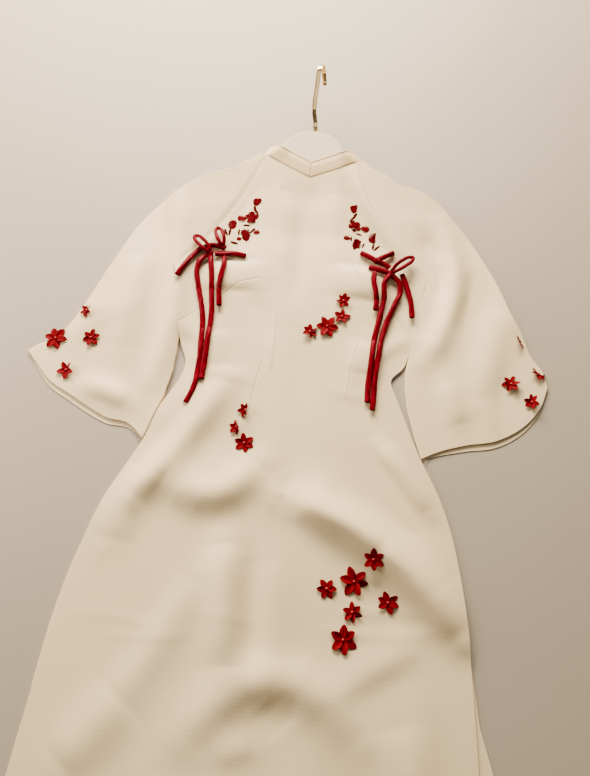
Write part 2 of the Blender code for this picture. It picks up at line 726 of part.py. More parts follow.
def flower(name, x, y, width, petals, turn, material, group):
    """A cloth flower: pointed petals round a raised middle, following the cloth below."""
    rim = []
    for petal in range(petals):
        for reach, share in PETAL_RIM:
            angle = math.radians(turn) + 2 * math.pi * (petal + share) / petals
            rim.append((reach * width, angle))
    upper, lower = [], []
    for reach, angle in rim:
        px, py = x + reach * math.cos(angle), y + reach * math.sin(angle)
        curl = PETAL_RISE * (reach / width / 0.5) ** 2
        floor = cloth_top(px, py) + REST_GAP + curl
        upper.append((px, py, floor + FLOWER_THICK))
        lower.append((px, py, floor))
    middle = cloth_top(x, y) + REST_GAP
    points = upper + lower + [(x, y, middle + FLOWER_THICK + FLOWER_HEART), (x, y, middle)]
    count = len(rim)
    faces = []
    for i in range(count):
        k = (i + 1) % count
        faces.append((i, k, 2 * count))
        faces.append((count + k, count + i, 2 * count + 1))
        faces.append((k, i, count + i, count + k))
    mesh = mesh_of(name, points, faces)
    mesh.set_sharp_from_angle(angle=FLOWER_SHARP)
    return new_object(name, mesh, material, group)


def material(name, colour, roughness, metallic=0.0):
    """A plain Principled material."""
    made = bpy.data.materials.new(name)
    made.use_nodes = True
    shader = made.node_tree.nodes["Principled BSDF"]
    shader.inputs["Base Color"].default_value = (*colour, 1)
    shader.inputs["Roughness"].default_value = roughness
    shader.inputs["Metallic"].default_value = metallic
    return made


def main():
    for old in list(bpy.data.objects):
        bpy.data.objects.remove(old)
    group = bpy.data.collections.new("ao_dai_tunic")
    bpy.context.scene.collection.children.link(group)

    ivory = {name: material(name, (0.80, 0.74, 0.64), 0.55)
             for name in ("front_crepe", "back_crepe", "sleeve_left_crepe",
                          "sleeve_right_crepe", "collar_left_crepe", "collar_right_crepe")}
    front_panel(ivory["front_crepe"], group)
    back_panel(ivory["back_crepe"], group)
    sleeve("sleeve_left", -1, OVER_ARM_LEFT, CUFF_LEFT,
           ivory["sleeve_left_crepe"], group)
    sleeve("sleeve_right", 1, OVER_ARM_RIGHT, CUFF_RIGHT,
           ivory["sleeve_right_crepe"], group)
    collar_half("collar_left", -1, ivory["collar_left_crepe"], group)
    collar_half("collar_right", 1, ivory["collar_right_crepe"], group)

    hanger(material("board_white", (0.86, 0.82, 0.75), 0.45), group)
    hanger_hook(material("hook_gold", (0.83, 0.64, 0.30), 0.22, 1.0), group)

    for side, (x, y) in KNOTS.items():
        knot(f"knot_{side}", x, y, material(f"knot_{side}_satin", (0.55, 0.02, 0.05), 0.32), group)
    for name, tied_to, degrees, length in LOOPS:
        loop(name, tied_to, degrees, length,
             material(f"{name}_satin", (0.50, 0.02, 0.05), 0.32), group)
    for name, route in TIES.items():
        tie(name, route, material(f"{name}_satin", (0.55, 0.02, 0.05), 0.32), group)
    for name, x, y, width, petals, turn in FLOWERS:
        flower(f"flower_{name}", x, y, width, petals, turn,
               material(f"flower_{name}_satin", (0.58, 0.02, 0.04), 0.42), group)


main()
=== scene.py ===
# %% [markdown]
# # An ao dai tunic, laid out on its hanger
# A long ivory tunic lies on its back on a pale floor, with its board hanger still in the neck. Each
# piece that a maker would cut and sew is a separate piece here too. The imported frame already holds
# every piece at its real size, so this lesson only gives each one its finer form and its finish.

# %% Load the frame
import math
from functools import reduce

import bmesh
import bpy
import numpy as np
from mathutils import Matrix


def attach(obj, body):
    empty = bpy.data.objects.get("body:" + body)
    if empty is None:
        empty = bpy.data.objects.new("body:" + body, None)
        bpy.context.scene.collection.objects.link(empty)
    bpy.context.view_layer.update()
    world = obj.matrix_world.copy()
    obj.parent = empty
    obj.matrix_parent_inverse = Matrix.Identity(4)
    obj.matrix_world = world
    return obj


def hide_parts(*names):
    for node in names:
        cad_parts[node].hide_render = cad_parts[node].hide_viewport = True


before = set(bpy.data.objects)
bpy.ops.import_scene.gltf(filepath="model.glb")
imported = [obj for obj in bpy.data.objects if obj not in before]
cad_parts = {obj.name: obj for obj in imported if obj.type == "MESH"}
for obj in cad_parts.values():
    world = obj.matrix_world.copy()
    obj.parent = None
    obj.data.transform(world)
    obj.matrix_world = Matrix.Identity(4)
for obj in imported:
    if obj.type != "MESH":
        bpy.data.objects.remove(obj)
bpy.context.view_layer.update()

# %% [markdown]
# The camera looks down on the garment from a step away, past its waist towards the collar. It is
# made first, because the ribbons are measured against what it sees.

# %% Camera
LENS_MM = 28.0
CAMERA_AT = (0.0498, -0.2321, 0.8853)
CAMERA_FROM_STRAIGHT_DOWN = math.radians(20.0)
CAMERA_HEADING = math.radians(5.5)


def in_scene(name, data):
    """A new object in the scene."""
    made = bpy.data.objects.new(name, data)
    bpy.context.scene.collection.objects.link(made)
    return made


camera_lens = bpy.data.cameras.new("camera")
camera_lens.lens = LENS_MM
camera = in_scene("camera", camera_lens)
camera.location = CAMERA_AT
camera.rotation_euler = (CAMERA_FROM_STRAIGHT_DOWN, 0, CAMERA_HEADING)
bpy.context.scene.camera = camera
print("camera at", CAMERA_AT)

# %% [markdown]
# The tables are in millimetres, from the waist line and the middle of the whole piece, as a cutter
# would measure them. `place` turns them into metres in the frame. `curve_through` draws one smooth
# curve through a few rows of a table, so that an outline needs only the points that give its shape.

# %% Measures and curves
MM = 0.001
WAIST_Y = 0.1144
FINE_STEPS = 12


def place(points):
    """Millimetres from the middle and the waist line, as metres in the frame."""
    return np.atleast_2d(np.asarray(points, float)) * MM + np.array([0, WAIST_Y, 0])


def facing(degrees):
    """In plan, the way at this angle from +X, and the way to its left."""
    angle = math.radians(degrees)
    return np.array([math.cos(angle), math.sin(angle)]), np.array([-math.sin(angle),
                                                                   math.cos(angle)])


def run_along(line):
    """How far along a line of points each of them is."""
    steps = np.linalg.norm(np.diff(np.asarray(line, float), axis=0), axis=1)
    return np.concatenate([[0], np.cumsum(steps)])


def curve_through(points, steps):
    """steps + 1 rows, evenly spaced, on a smooth curve through the given rows."""
    rows = np.array(points, float)
    far = run_along(rows[:, :2])
    slopes = np.gradient(rows, far, axis=0)
    fine = []
    for i, span in enumerate(np.linalg.norm(np.diff(rows[:, :2], axis=0), axis=1)):
        for t in np.linspace(0, 1, FINE_STEPS, endpoint=False):
            fine.append(rows[i] * (2 * t ** 3 - 3 * t ** 2 + 1)
                        + rows[i + 1] * (3 * t ** 2 - 2 * t ** 3)
                        + slopes[i] * span * (t ** 3 - 2 * t ** 2 + t)
                        + slopes[i + 1] * span * (t ** 3 - t ** 2))
    fine = np.array(fine + [rows[-1]])
    far = run_along(fine[:, :2])
    even = np.linspace(0, far[-1], steps + 1)
    return np.array([np.interp(even, far, fine[:, k]) for k in range(fine.shape[1])]).T


def ease(share):
    """0 to 1 with a soft start and end."""
    share = np.clip(share, 0, 1)
    return share * share * (3 - 2 * share)


print("waist line at y =", WAIST_Y, "m")

# %% [markdown]
# ## How the cloth lies
# Two layers lie on each other, and the front one rises over the hanger's tilted board. Heavy crepe
# never lies quite flat: it keeps broad soft folds, which the solids have too, and smaller creases
# between them. Both are written down one by one as lines with a width and a height. A ridge fades
# away from its line like a bell curve, so the folds melt into each other as cloth does. A physics
# simulation could drape it, but the folds listed here lie where this tunic has them.

# %% The folds that the solids have
CLOTH = 1.5
SEAM_GAP = 0.4
LAYER_GAP = 0.3
LAID = CLOTH + LAYER_GAP + CLOTH
COLLAR_X = 8.5
BOARD_THICK = 7.0
BOARD_TILT = math.radians(10.0)
BOARD_LOW_Y = 312.0
BOARD_MARGIN = 10.0
BOARD_FALL = 100.0
BOARD_BRIDGE = 30.0

RIDGES = [
    # name, x0, y0, x1, y1, bow, half_width, height
    ("chest swell", 8, 250, 6, 70, 0, 90, 3.0),
    ("skirt swell", 0, -130, 0, -640, 0, 140, 3.5),
    ("left bust", -108, 190, -104, 132, 0, 44, 9.0),
    ("right bust", 116, 196, 112, 136, 0, 46, 10.5),
    ("left of front crease", -34, 330, -26, 180, 0, 26, 3.9),
    ("right of front crease", 52, 330, 62, 190, 0, 26, 3.9),
    ("left waist", -118, 60, -112, 0, 0, 26, 4.5),
    ("right waist", 128, 62, 120, 6, 0, 24, 5.1),
    ("left hip, slanting", -90, -26, -198, -216, 7, 24, 12.5),
    ("left belly", -156, -186, -24, -152, -34, 28, 14.5),
    ("right belly", 16, -198, 276, -362, 29, 27, 16.0),
    ("right hip edge", 158, -108, 226, -200, 2, 16, 8.0),
    ("left of dent", -60, -272, -36, -428, 0, 25, 14.0),
    ("right of dent", 10, -286, 34, -410, 0, 24, 4.4),
    ("low arch", -76, -514, 144, -496, 69, 29, 11.0),
    ("left hem", -166, -481, -228, -560, 0, 34, 7.5),
    ("right hem", 190, -480, 226, -600, 0, 34, 6.9),
    ("middle hem", -20, -600, 10, -740, 0, 38, 7.5),
    ("far left hem", -200, -640, -226, -765, 0, 32, 5.4),
    ("left sleeve, inner", -222, 314, -200, -36, 20, 20, 9.4),
    ("left sleeve, middle", -266, 190, -262, 16, 0, 28, 7.0),
    ("left cuff", -318, -50, -236, -76, 5, 20, 6.3),
    ("right sleeve, inner", 240, 288, 220, 38, 36, 21, 10.5),
    ("right sleeve, outer", 342, 140, 306, -18, 0, 28, 6.6),
    ("right cuff", 252, 4, 276, -62, 0, 18, 5.4),
]
BOW_STEPS = 6
END_FADE = 0.65  # how much of a fold's height is gone at its two ends
LOFT_SOFT = 0.6  # how softly a trough meets the layer below, in square millimetres

BOARD_HALF = [(0, 451.5), (24, 448.5), (43, 436), (54, 419), (60, 405), (68, 392), (80, 381),
              (104, 368), (144, 349), (174, 335), (186, 327), (188, 320), (182, 314.5),
              (168, 313.5), (130, 321), (80, 333), (40, 340), (0, 342)]
print(len(RIDGES), "folds")

# %% [markdown]
# The creases bend a little, and one flank of each is steeper than the other. A negative height is a
# trough. They are only a few millimetres high, and they are what makes the cloth read as cloth.

# %% The smaller creases
CREASES = [
    # name, x0, y0, x1, y1, bow, wide_flank, steep_flank, height
    ("hip, lit side", -130, -18, -190, -118, 4, 28, 26, 4.0),
    ("hip, low", -218, -280, -186, -176, 3, 34, 26, 7.0),
    ("belly, lit side", -156, -166, -70, -152, -6, 30, 24, 3.6),
    ("right belly, lit side", 30, -176, 96, -184, 6, 26, 20, 2.4),
    ("right thigh, back", 176, -226, 246, -300, 4, 34, 30, 2.6),
    ("right belly, bend", 40, -204, 160, -262, 9, 32, 20, 7.6),
    ("right hip, furrow", 140, -134, 220, -240, 2, 18, 20, -5.0),
    ("right belly, tail", 158, -260, 266, -362, 5, 34, 21, 6.6),
    ("middle furrow", 14, -166, 30, -226, 3, 20, 16, -2.8),
    ("dent, its floor", -20, -284, -2, -418, 0, 16, 16, -5.6),
    ("thigh, slanting", -93, -324, -170, -476, 6, 27, 25, 5.4),
    ("arch, under it", 20, -468, 50, -500, 0, 28, 26, -2.8),
    ("knee streak", 112, -446, 216, -378, 0, 26, 19, 4.4),
    ("right drift", 212, -420, 224, -560, 8, 26, 22, 2.6),
    ("below the dent", -34, -536, 14, -518, 3, 20, 16, 3.4),
    ("hem, left", -120, -560, -104, -760, 8, 30, 26, 3.8),
    ("hem, left crest", -176, -610, -160, -780, 6, 26, 22, 3.0),
    ("hem, middle", 66, -560, 78, -770, -8, 30, 24, 3.2),
    ("hem, right", 160, -600, 170, -780, 6, 28, 22, 3.4),
    ("wrinkle across, right", 118, -350, 228, -340, 4, 9, 7, 0.8),
    ("wrinkle across, right low", 96, -372, 230, -364, -4, 9, 7, 0.9),
    ("wrinkle across, left", -252, -382, -130, -392, 5, 9, 7, 0.7),
    ("wrinkle across, left low", -206, -404, -96, -396, -3, 9, 7, 0.7),
    ("wrinkle across, middle", -74, -366, -4, -372, 3, 9, 7, 0.6),
    ("below the collar", -44, 334, 44, 328, -8, 28, 24, -2.8),
    ("chest, middle", -6, 310, 2, 130, 8, 18, 16, -2.2),
    ("chest, left", -64, 262, -48, 150, -8, 24, 20, 1.8),
    ("chest, right", 84, 250, 78, 150, -6, 24, 20, 1.6),
    ("left raglan seam", -72, 396, -202, 170, 11, 5, 5, -1.0),
    ("right raglan seam", 89, 396, 219, 184, -17, 4, 4, -0.6),
    ("right raglan ridge", 84, 372, 186, 214, -10, 14, 13, 5.6),
    ("beside the right raglan", 70, 346, 146, 222, -6, 17, 15, -3.8),
    ("beside the left raglan", -84, 332, -130, 250, 3, 15, 15, -2.2),
    ("bust dart dent", -74, 122, -34, 60, 6, 18, 14, -2.4),
    ("waist dart ridge", -25, 94, -25, -4, 0, 7, 6, 0.9),
    ("waist dart dent", 16, 34, 30, -44, 4, 20, 16, -2.2),
    ("right waist dart ridge", 108, 60, 100, -34, 0, 8, 7, 0.8),
    ("left waist tuck", -176, 62, -134, 20, 6, 18, 13, 2.4),
    ("left waist dent", -166, 40, -124, 16, 3, 15, 13, -2.6),
    ("right waist tuck", 198, 74, 148, 38, -5, 18, 13, 2.4),
    ("right waist dent", 188, 46, 150, 16, 2, 16, 13, -2.6),
    ("waist, across", -124, -16, -40, -24, 5, 13, 10, 1.2),
    ("waist, across right", 70, -22, 150, -32, -5, 13, 10, 1.2),
    ("side, below the bust", 168, 176, 208, 96, 6, 20, 18, -2.0),
    ("armhole pocket", 212, 268, 230, 216, 3, 16, 14, -3.4),
    ("armhole pocket, low", 232, 208, 236, 160, 3, 15, 13, -2.6),
    ("left armhole, beside", -246, 322, -226, 210, -4, 16, 14, -2.6),
    ("left sleeve, dark zone", -234, 150, -222, -6, 4, 17, 15, -2.6),
    ("left sleeve, outer drift", -306, 120, -330, 10, -8, 24, 20, 2.4),
    ("left elbow light", -348, 20, -262, 92, 8, 28, 22, 2.6),
    ("left cuff wave", -296, -62, -232, -80, 5, 17, 12, 2.0),
    ("left cuff dent", -372, -6, -326, -56, 3, 20, 16, -1.6),
    ("right sleeve, outside", 300, 190, 256, 84, 6, 20, 18, -2.8),
    ("right sleeve, outer drift", 334, 214, 366, 90, 8, 24, 20, 2.6),
    ("right cuff, inner", 236, 20, 262, -66, 4, 15, 12, 1.6),
    ("right cuff, middle", 304, -20, 322, -76, 4, 18, 15, 2.0),
    ("right cuff dent", 344, 24, 356, -44, -4, 20, 16, -1.6),
]


def bowed_line(x0, y0, x1, y1, bow):
    """A line that bows to its left between two points."""
    a, b = np.array([x0, y0], float), np.array([x1, y1], float)
    left = np.array([a[1] - b[1], b[0] - a[0]]) / np.linalg.norm(b - a)
    share = np.linspace(0, 1, BOW_STEPS + 1)[:, None]
    return a + (b - a) * share + left * bow * 4 * share * (1 - share)


print(len(CREASES), "creases")

# %% Height of the cloth
def off_line(points, a, b):
    """Distances of points from the line a to b, and where along it that is, 0 to 1."""
    along = b - a
    share = np.clip((points - a) @ along / (along @ along), 0, 1)
    away = points - a - share[:, None] * along
    return np.hypot(away[:, 0], away[:, 1]), share


def fold(points, x0, y0, x1, y1, bow, left_flank, right_flank, high):
    """What one fold adds: high along its line, lower at its ends, and fading to both sides."""
    line = bowed_line(x0, y0, x1, y1, bow)
    nearest, where = np.full(len(points), np.inf), np.zeros(len(points))
    flank = np.zeros(len(points))
    for i, (a, b) in enumerate(zip(line, line[1:])):
        away, share = off_line(points, a, b)
        left = (b - a)[0] * (points[:, 1] - a[1]) - (b - a)[1] * (points[:, 0] - a[0]) > 0
        closer = away < nearest
        nearest = np.where(closer, away, nearest)
        where = np.where(closer, (i + share) / BOW_STEPS, where)
        flank = np.where(closer, np.where(left, left_flank, right_flank), flank)
    fade = 1 - END_FADE * np.abs(2 * where - 1) ** 3
    return high * fade * np.exp(-(nearest / flank) ** 2)


def board_outline():
    """The hanger board's outline, closed, from its two halves."""
    right = [(COLLAR_X + x, y) for x, y in BOARD_HALF]
    left = [(COLLAR_X - x, y) for x, y in BOARD_HALF[-2:0:-1]]
    return np.array(right + left, float)


BOARD = board_outline()


def off_board(points):
    """Distances of points from the board's outline, 0 on the board."""
    nearest = np.full(len(points), np.inf)
    inside = np.zeros(len(points), bool)
    x, y = points[:, 0], points[:, 1]
    for a, b in zip(BOARD, np.roll(BOARD, -1, axis=0)):
        nearest = np.minimum(nearest, off_line(points, a, b)[0])
        if a[1] != b[1]:
            crosses = (a[1] > y) != (b[1] > y)
            inside ^= crosses & (x < (b[0] - a[0]) * (y - a[1]) / (b[1] - a[1]) + a[0])
    return np.where(inside, 0, nearest)


def board_top(y):
    """Height of the tilted board's upper face."""
    return CLOTH + LAYER_GAP + np.maximum(y - BOARD_LOW_Y, 0) * math.tan(BOARD_TILT) + BOARD_THICK


def form_top(points):
    """Height of the upper face with the broad folds alone, as the solids have it."""
    points = np.atleast_2d(np.asarray(points, float))[:, :2]
    height = np.full(len(points), LAID)
    for _, x0, y0, x1, y1, bow, half_width, high in RIDGES:
        height += fold(points, x0, y0, x1, y1, bow, half_width, half_width, high)
    share = ease(1 - (off_board(points) - BOARD_MARGIN) / BOARD_FALL)
    above_low = points[:, 1] - BOARD_LOW_Y
    bridged = (above_low + np.hypot(above_low, BOARD_BRIDGE)) / 2
    over_board = board_top(BOARD_LOW_Y + bridged) + CLOTH + 2 * LAYER_GAP
    return height + share * (over_board - LAID)


def cloth_top(points):
    """Height of the upper face with every fold, never down in the layer below it."""
    points = np.atleast_2d(np.asarray(points, float))[:, :2]
    loft = form_top(points) + sum(fold(points, *crease[1:]) for crease in CREASES) - LAID
    return LAID + (loft + np.sqrt(loft * loft + LOFT_SOFT)) / 2


print("height over the board:", round(float(cloth_top([(0, 360)])[0]), 1), "mm")

# %% [markdown]
# ## Ribbons
# The ribbons are rouleaux: narrow satin tubes, turned right side out, that lie loose on the cloth.
# A rouleau is never a perfect tube. It is a little flat, its seam makes lengthwise folds that turn
# slowly round it, and its cut ends are open and dark. A curve with a round bevel would look like
# plastic cord, so each ribbon is a section carried along its route by hand. The routes are those
# of the solids, and every long ribbon is listed as a cord with its route.

# %% Routes of the ribbons
TIE = 8.0
LOOP = 5.5
REST_GAP = 1.0
RIBBON_STEP = 1.3
FEWEST_STEPS = 12
LOOP_STEPS = 72
RIBBON_SINK = 0.7
KNOT_REACH = 18.0  # a ribbon that starts this close to its knot starts inside it
KNOT_INSIDE = 0.30

KNOTS = {
    "left_outer": (-145, 197),
    "left_inner": (-125, 210),
    "right_inner": (133, 207),
    "right_outer": (158, 185),
}

LOOPS = [
    # name, knot, direction in degrees, length
    ("loop_left_outer", "left_outer", 136, 42),
    ("loop_left_inner", "left_inner", 112, 38),
    ("loop_right_outer", "right_outer", 43, 48),
]
LOOP_START = (2.5, 2.0, 6.5)  # millimetres along, half wide and high
LOOP_HALF = [
    # share of its length, half wide, high
    (0.35, 5.4, 9.0), (0.62, 5.8, 8.0), (0.84, 5.0, 6.0), (1, 0.0, 4.0),
]

TIES = [
    # name, knot, route: x, y, lift
    ("tie_left_side", "left_inner", [
        (-133, 211, 1.5), (-142, 213.5, 1), (-152, 212, 0), (-163, 205, 0), (-172, 193, 0),
        (-183, 171, 0), (-193, 147, 0)]),
    ("tie_left_stub", "left_inner", [
        (-137, 196, 1.5), (-124, 196.5, 1), (-106, 199, 0.5), (-85, 197, 0)]),
    ("tie_left_long", "left_outer", [
        (-151, 191, 1.5), (-160, 181, 1.2), (-163, 166, 0.4), (-157, 136, 0), (-147, 104, 0),
        (-140, 69, 0), (-136, 24, 0), (-135, -12, 0), (-136, -34, 0), (-140, -52, 0),
        (-146, -69, 0)]),
    ("tie_left_second", "left_outer", [
        (-143.5, 189, 1.5), (-139, 166, 0.5), (-133, 127, 0), (-127, 71, 0), (-126.8, 25, 0),
        (-126.3, -7, 0.5), (-127, -28, 1)]),
    ("tie_left_short", "left_inner", [
        (-121, 191.5, 0.8), (-119, 177, 0.8), (-120, 158, 0.8), (-121, 128, 0.8),
        (-117.5, 101, 0.6)]),
    ("tie_right_up", "right_inner", [(126, 211, 1.5), (117, 215.5, 1), (106, 221, 0)]),
    ("tie_right_stub", "right_inner", [(139, 213.5, 2), (149, 219, 1.5), (161, 227, 1)]),
    ("tie_right_band", "right_inner", [(141, 203.5, 1), (149, 202, 1), (155.5, 197, 1)]),
    ("tie_right_left", "right_outer", [(150, 186, 1.5), (137, 190, 1), (121, 194, 0)]),
    ("tie_right_inner", "right_inner", [
        (130.5, 183, 0.6), (130, 168, 0.8), (134, 150, 1.2), (136.5, 130, 1.2), (136, 116, 1)]),
    ("tie_right_long", "right_outer", [
        (153, 178.5, 1.5), (148.5, 168, 1), (148.5, 136, 0), (144, 107, 0), (138, 74, 0),
        (135, 40, 0), (132, -2, 0), (131.5, -41, 0)]),
    ("tie_right_second", "right_outer", [
        (163, 178.5, 1.5), (173, 168, 1), (174.5, 153, 0), (168, 133, 0), (157, 103, 0),
        (148.5, 67, 0), (144, 30, 0), (141, -13, 0), (140.2, -53, 0)]),
    ("tie_right_short", "right_outer", [
        (176, 187, 0.5), (184, 169, 0.5), (192, 141, 1), (195.5, 109, 1.5)]),
]


def tie_line(route, knot):
    """A ribbon's centre line over the broad folds, from inside its knot to its end."""
    knot_at, first = np.array(KNOTS[knot], float), np.array(route[0], float)
    away = first[:2] - knot_at
    if np.linalg.norm(away) < KNOT_REACH:
        route = [(*(knot_at + away * KNOT_INSIDE), first[2]), *route[1:]]
    steps = round(run_along([spot[:2] for spot in route])[-1] / RIBBON_STEP)
    line = curve_through(route, max(FEWEST_STEPS, steps))
    height = form_top(line) + REST_GAP + TIE / 2 - RIBBON_SINK + line[:, 2]
    return np.column_stack([line[:, :2], height])


def loop_line(knot, degrees, length):
    """A bow's loop: out from its knot, round a narrow turn and back."""
    centre = np.array(KNOTS[knot], float)
    out, across = facing(degrees)
    half = [LOOP_START] + [(share * length, wide, high) for share, wide, high in LOOP_HALF]
    stations = half + [(far, -wide, high) for far, wide, high in half[-2::-1]]
    flat = [(*(centre + far * out + wide * across), high) for far, wide, high in stations]
    base = float(form_top([centre])[0]) + REST_GAP
    line = curve_through(flat, LOOP_STEPS)
    return np.column_stack([line[:, :2], base + LOOP / 2 + line[:, 2]])


print("ribbons:", len(TIES), "and loops:", len(LOOPS))

# %% [markdown]
# One helper makes a mesh from rows of points and gives it a UV map in metres, so that a weave or a
# satin grain keeps its real size and follows the piece. The next cell carries a section along a
# line.

# %% Meshes from rows of points
def finished(name, mesh, material, sharp=None):
    """An object for a mesh: faces outwards, one material, and edges sharp past an angle."""
    shell = bmesh.new()
    shell.from_mesh(mesh)
    bmesh.ops.recalc_face_normals(shell, faces=shell.faces)
    if shell.calc_volume(signed=True) < 0:
        bmesh.ops.reverse_faces(shell, faces=shell.faces)
    shell.to_mesh(mesh)
    shell.free()
    mesh.shade_smooth()
    if sharp:
        mesh.set_sharp_from_angle(angle=math.radians(sharp))
    mesh.materials.append(material)
    return in_scene(name, mesh)


def baked(piece):
    """A plain mesh of an object with its modifiers applied."""
    seen = piece.evaluated_get(bpy.context.evaluated_depsgraph_get())
    return bpy.data.meshes.new_from_object(seen)


def mesh_from(name, points, faces, spread):
    """A mesh of points in millimetres, and a UV map from spread, one pair for each point."""
    mesh = bpy.data.meshes.new(name)
    mesh.from_pydata([tuple(p) for p in place(points)], [], faces)
    layer = mesh.uv_layers.new(name="along")
    spread = np.asarray(spread, float) * MM
    corners = np.zeros(len(mesh.loops), int)
    mesh.loops.foreach_get("vertex_index", corners)
    layer.data.foreach_set("uv", spread[corners].ravel())
    return mesh


def tube_faces(rings, around, start=0):
    """Quads between rings of points, closed all round, and a face over each end."""
    faces = []
    for j in range(start, start + (rings - 1) * around, around):
        for i in range(around):
            k = (i + 1) % around
            faces.append((j + i, j + k, j + around + k, j + around + i))
    last = start + (rings - 1) * around
    return faces + [tuple(range(start + around - 1, start - 1, -1)),
                    tuple(range(last, last + around))]


# %% A section carried along a line
RIBBON_AROUND = 22
FOLD_TURN = 11.0  # millimetres along the ribbon in which its folds turn by one radian
PUCKER = 3.1
END_RINGS = [
    # share of the ribbon's width, how far inside its end
    (0.30, 2.6), (0.64, 1.82), (0.74, 0.25), (0.90, 0.0), (0.98, 0.3),
]


def frames_along(line):
    """At each point of a line: its direction, the way across it and the way up from it."""
    along = np.gradient(line, axis=0)
    along /= np.linalg.norm(along, axis=1)[:, None]
    across = np.cross(along, [0, 0, 1.0])
    across /= np.linalg.norm(across, axis=1)[:, None]
    return along, across, np.cross(across, along)


def rouleau(name, line, wide, high, material, turn):
    """A soft satin tube along a line, with turning folds and open ends."""
    along, across, up = frames_along(line)
    far = run_along(line)
    angles = np.linspace(0, 2 * math.pi, RIBBON_AROUND, endpoint=False)
    last = len(line) - 1
    stations = ([(0, *ring) for ring in END_RINGS] + [(i, 1.0, 0.0) for i in range(1, last)]
                + [(last, shrink, -push) for shrink, push in END_RINGS[::-1]])
    rings, spread = [], []
    for i, shrink, push in stations:
        phase = turn + far[i] / FOLD_TURN
        fold = (1 + 0.085 * np.cos(3 * angles + phase)
                + 0.05 * np.cos(5 * angles - 0.7 * phase + 1.3)
                + 0.03 * np.sin(far[i] / PUCKER + 2 * angles + turn))
        a = np.cos(angles) * wide / 2 * fold * shrink
        b = np.sin(angles) * high / 2 * fold * shrink
        rings.append(line[i] + along[i] * push + a[:, None] * across[i] + b[:, None] * up[i])
        spread.extend((angle / (2 * math.pi) * 3 * wide, far[i] + push) for angle in angles)
    faces = tube_faces(len(rings), RIBBON_AROUND)
    return finished(name, mesh_from(name, np.concatenate(rings), faces, spread), material)


print("section of", RIBBON_AROUND, "points")

# %% [markdown]
# ## Finishes
# Shader maths is easier to read as arithmetic. `Wire` wraps one socket of a node tree, and adding,
# multiplying or dividing two of them adds the Math node that does it. Colours and vectors go
# through their own nodes, because a Math node would turn a colour grey.

# %% A socket that arithmetic works on
def arithmetic(operation):
    """A method for a sign, and the one for when the wire comes second."""
    return (lambda self, other: self.maths(operation, self, other),
            lambda self, other: self.maths(operation, other, self))


class Wire:
    """One output socket of a shader's node tree."""

    def __init__(self, tree, socket):
        self.tree, self.socket = tree, socket

    def node(self, kind, settings=None, inputs=None, output=0):
        """Any other node: its settings first, then values or wires for its sockets."""
        made = self.tree.nodes.new(kind)
        for key, value in (settings or {}).items():
            setattr(made, key, value)
        for key, value in (inputs or {}).items():
            if isinstance(value, Wire):
                self.tree.links.new(value.socket, made.inputs[key])
            else:
                made.inputs[key].default_value = value
        return Wire(self.tree, made.outputs[output])

    def maths(self, operation, *values):
        return self.node("ShaderNodeMath", {"operation": operation}, dict(enumerate(values)))

    __add__, __radd__ = arithmetic("ADD")
    __sub__, __rsub__ = arithmetic("SUBTRACT")
    __mul__, __rmul__ = arithmetic("MULTIPLY")
    __truediv__, __rtruediv__ = arithmetic("DIVIDE")

    def clamp(self):
        return self.maths("MINIMUM", self.maths("MAXIMUM", self, 0.0), 1.0)

    def vector(self, operation, other, output=0):
        return self.node("ShaderNodeVectorMath", {"operation": operation}, {0: self, 1: other},
                         output)

    def noise(self, scale, detail, **more):
        """Noise from 0 to 1 at this vector, in features per metre."""
        return self.node("ShaderNodeTexNoise", {},
                         {"Vector": self, "Scale": scale, "Detail": detail, **more})

    def grain(self, across, along, detail):
        """The same, drawn out: so many features per metre each way."""
        return self.vector("MULTIPLY", (across, along, 1.0)).noise(1.0, detail)

    def mixed(self, *ends):
        """The first colour where this is 0, and the second where it is 1."""
        low, high = (end if isinstance(end, Wire) else (*end, 1) for end in ends)
        return self.node("ShaderNodeMix", {"data_type": "RGBA"}, {0: self, 6: low, 7: high}, 2)


def new_finish(name, colour, roughness, **constants):
    """A material with its Principled shader, whose unchanging values sit on its own sockets."""
    made = bpy.data.materials.new(name)
    made.use_nodes = True
    tree = made.node_tree
    shader = tree.nodes["Principled BSDF"]
    shader.inputs["Base Color"].default_value = (*colour, 1)
    shader.inputs["Roughness"].default_value = roughness
    for key, value in constants.items():
        shader.inputs[key.replace("_", " ")].default_value = value
    coordinates = tree.nodes.new("ShaderNodeTexCoord").outputs
    return made, shader, Wire(tree, coordinates["Object"]), Wire(tree, coordinates["UV"])


def feed(shader, colour, roughness, normal):
    """Links wires to the shader's sockets."""
    for name, wire in (("Base Color", colour), ("Roughness", roughness), ("Normal", normal)):
        if wire:
            wire.tree.links.new(wire.socket, shader.inputs[name])


def relief(wire, depth, strength=1.0, below=None):
    """A bump of this depth in metres from a height of 0 to 1."""
    inputs = {"Height": wire, "Distance": depth, "Strength": strength}
    if below:
        inputs["Normal"] = below
    return wire.node("ShaderNodeBump", {}, inputs)


print("shader helpers ready")

# %% [markdown]
# The crepe is a heavy ivory one with a soft sheen. Close up it has a fine pebbled grain over a
# plain weave, and its threads vary a little in thickness. The colour drifts slightly over a whole
# panel. Darts are fine grooves: their lines are given as short straight pieces, and the distance to
# the nearest one makes both the groove and a thin painted shadow along it, a darker colour.

# %% Ivory crepe
IVORY, IVORY_DEEP = (0.81, 0.635, 0.385), (0.75, 0.56, 0.315)
# painted shade: the collar's two ivories are darker than the body's, for the band's face turned away
# from the window
COLLAR_SHADED_IVORY, COLLAR_SHADED_DEEP = (0.73, 0.54, 0.29), (0.66, 0.47, 0.24)
# painted shadow: the tone that the darts' lines are darkened to
DART_SHADOW_TONE = (0.56, 0.45, 0.31)
DART_SHADE = 0.22
DART_GROOVE = 0.75
DART_PULL = 5.0  # the cloth dips beside a dart over this many widths of its groove
PEBBLE = 620.0  # features per metre, as below
THREADS = 57.5
SLUB = (42.0, 420.0)
DRIFT = 5.5


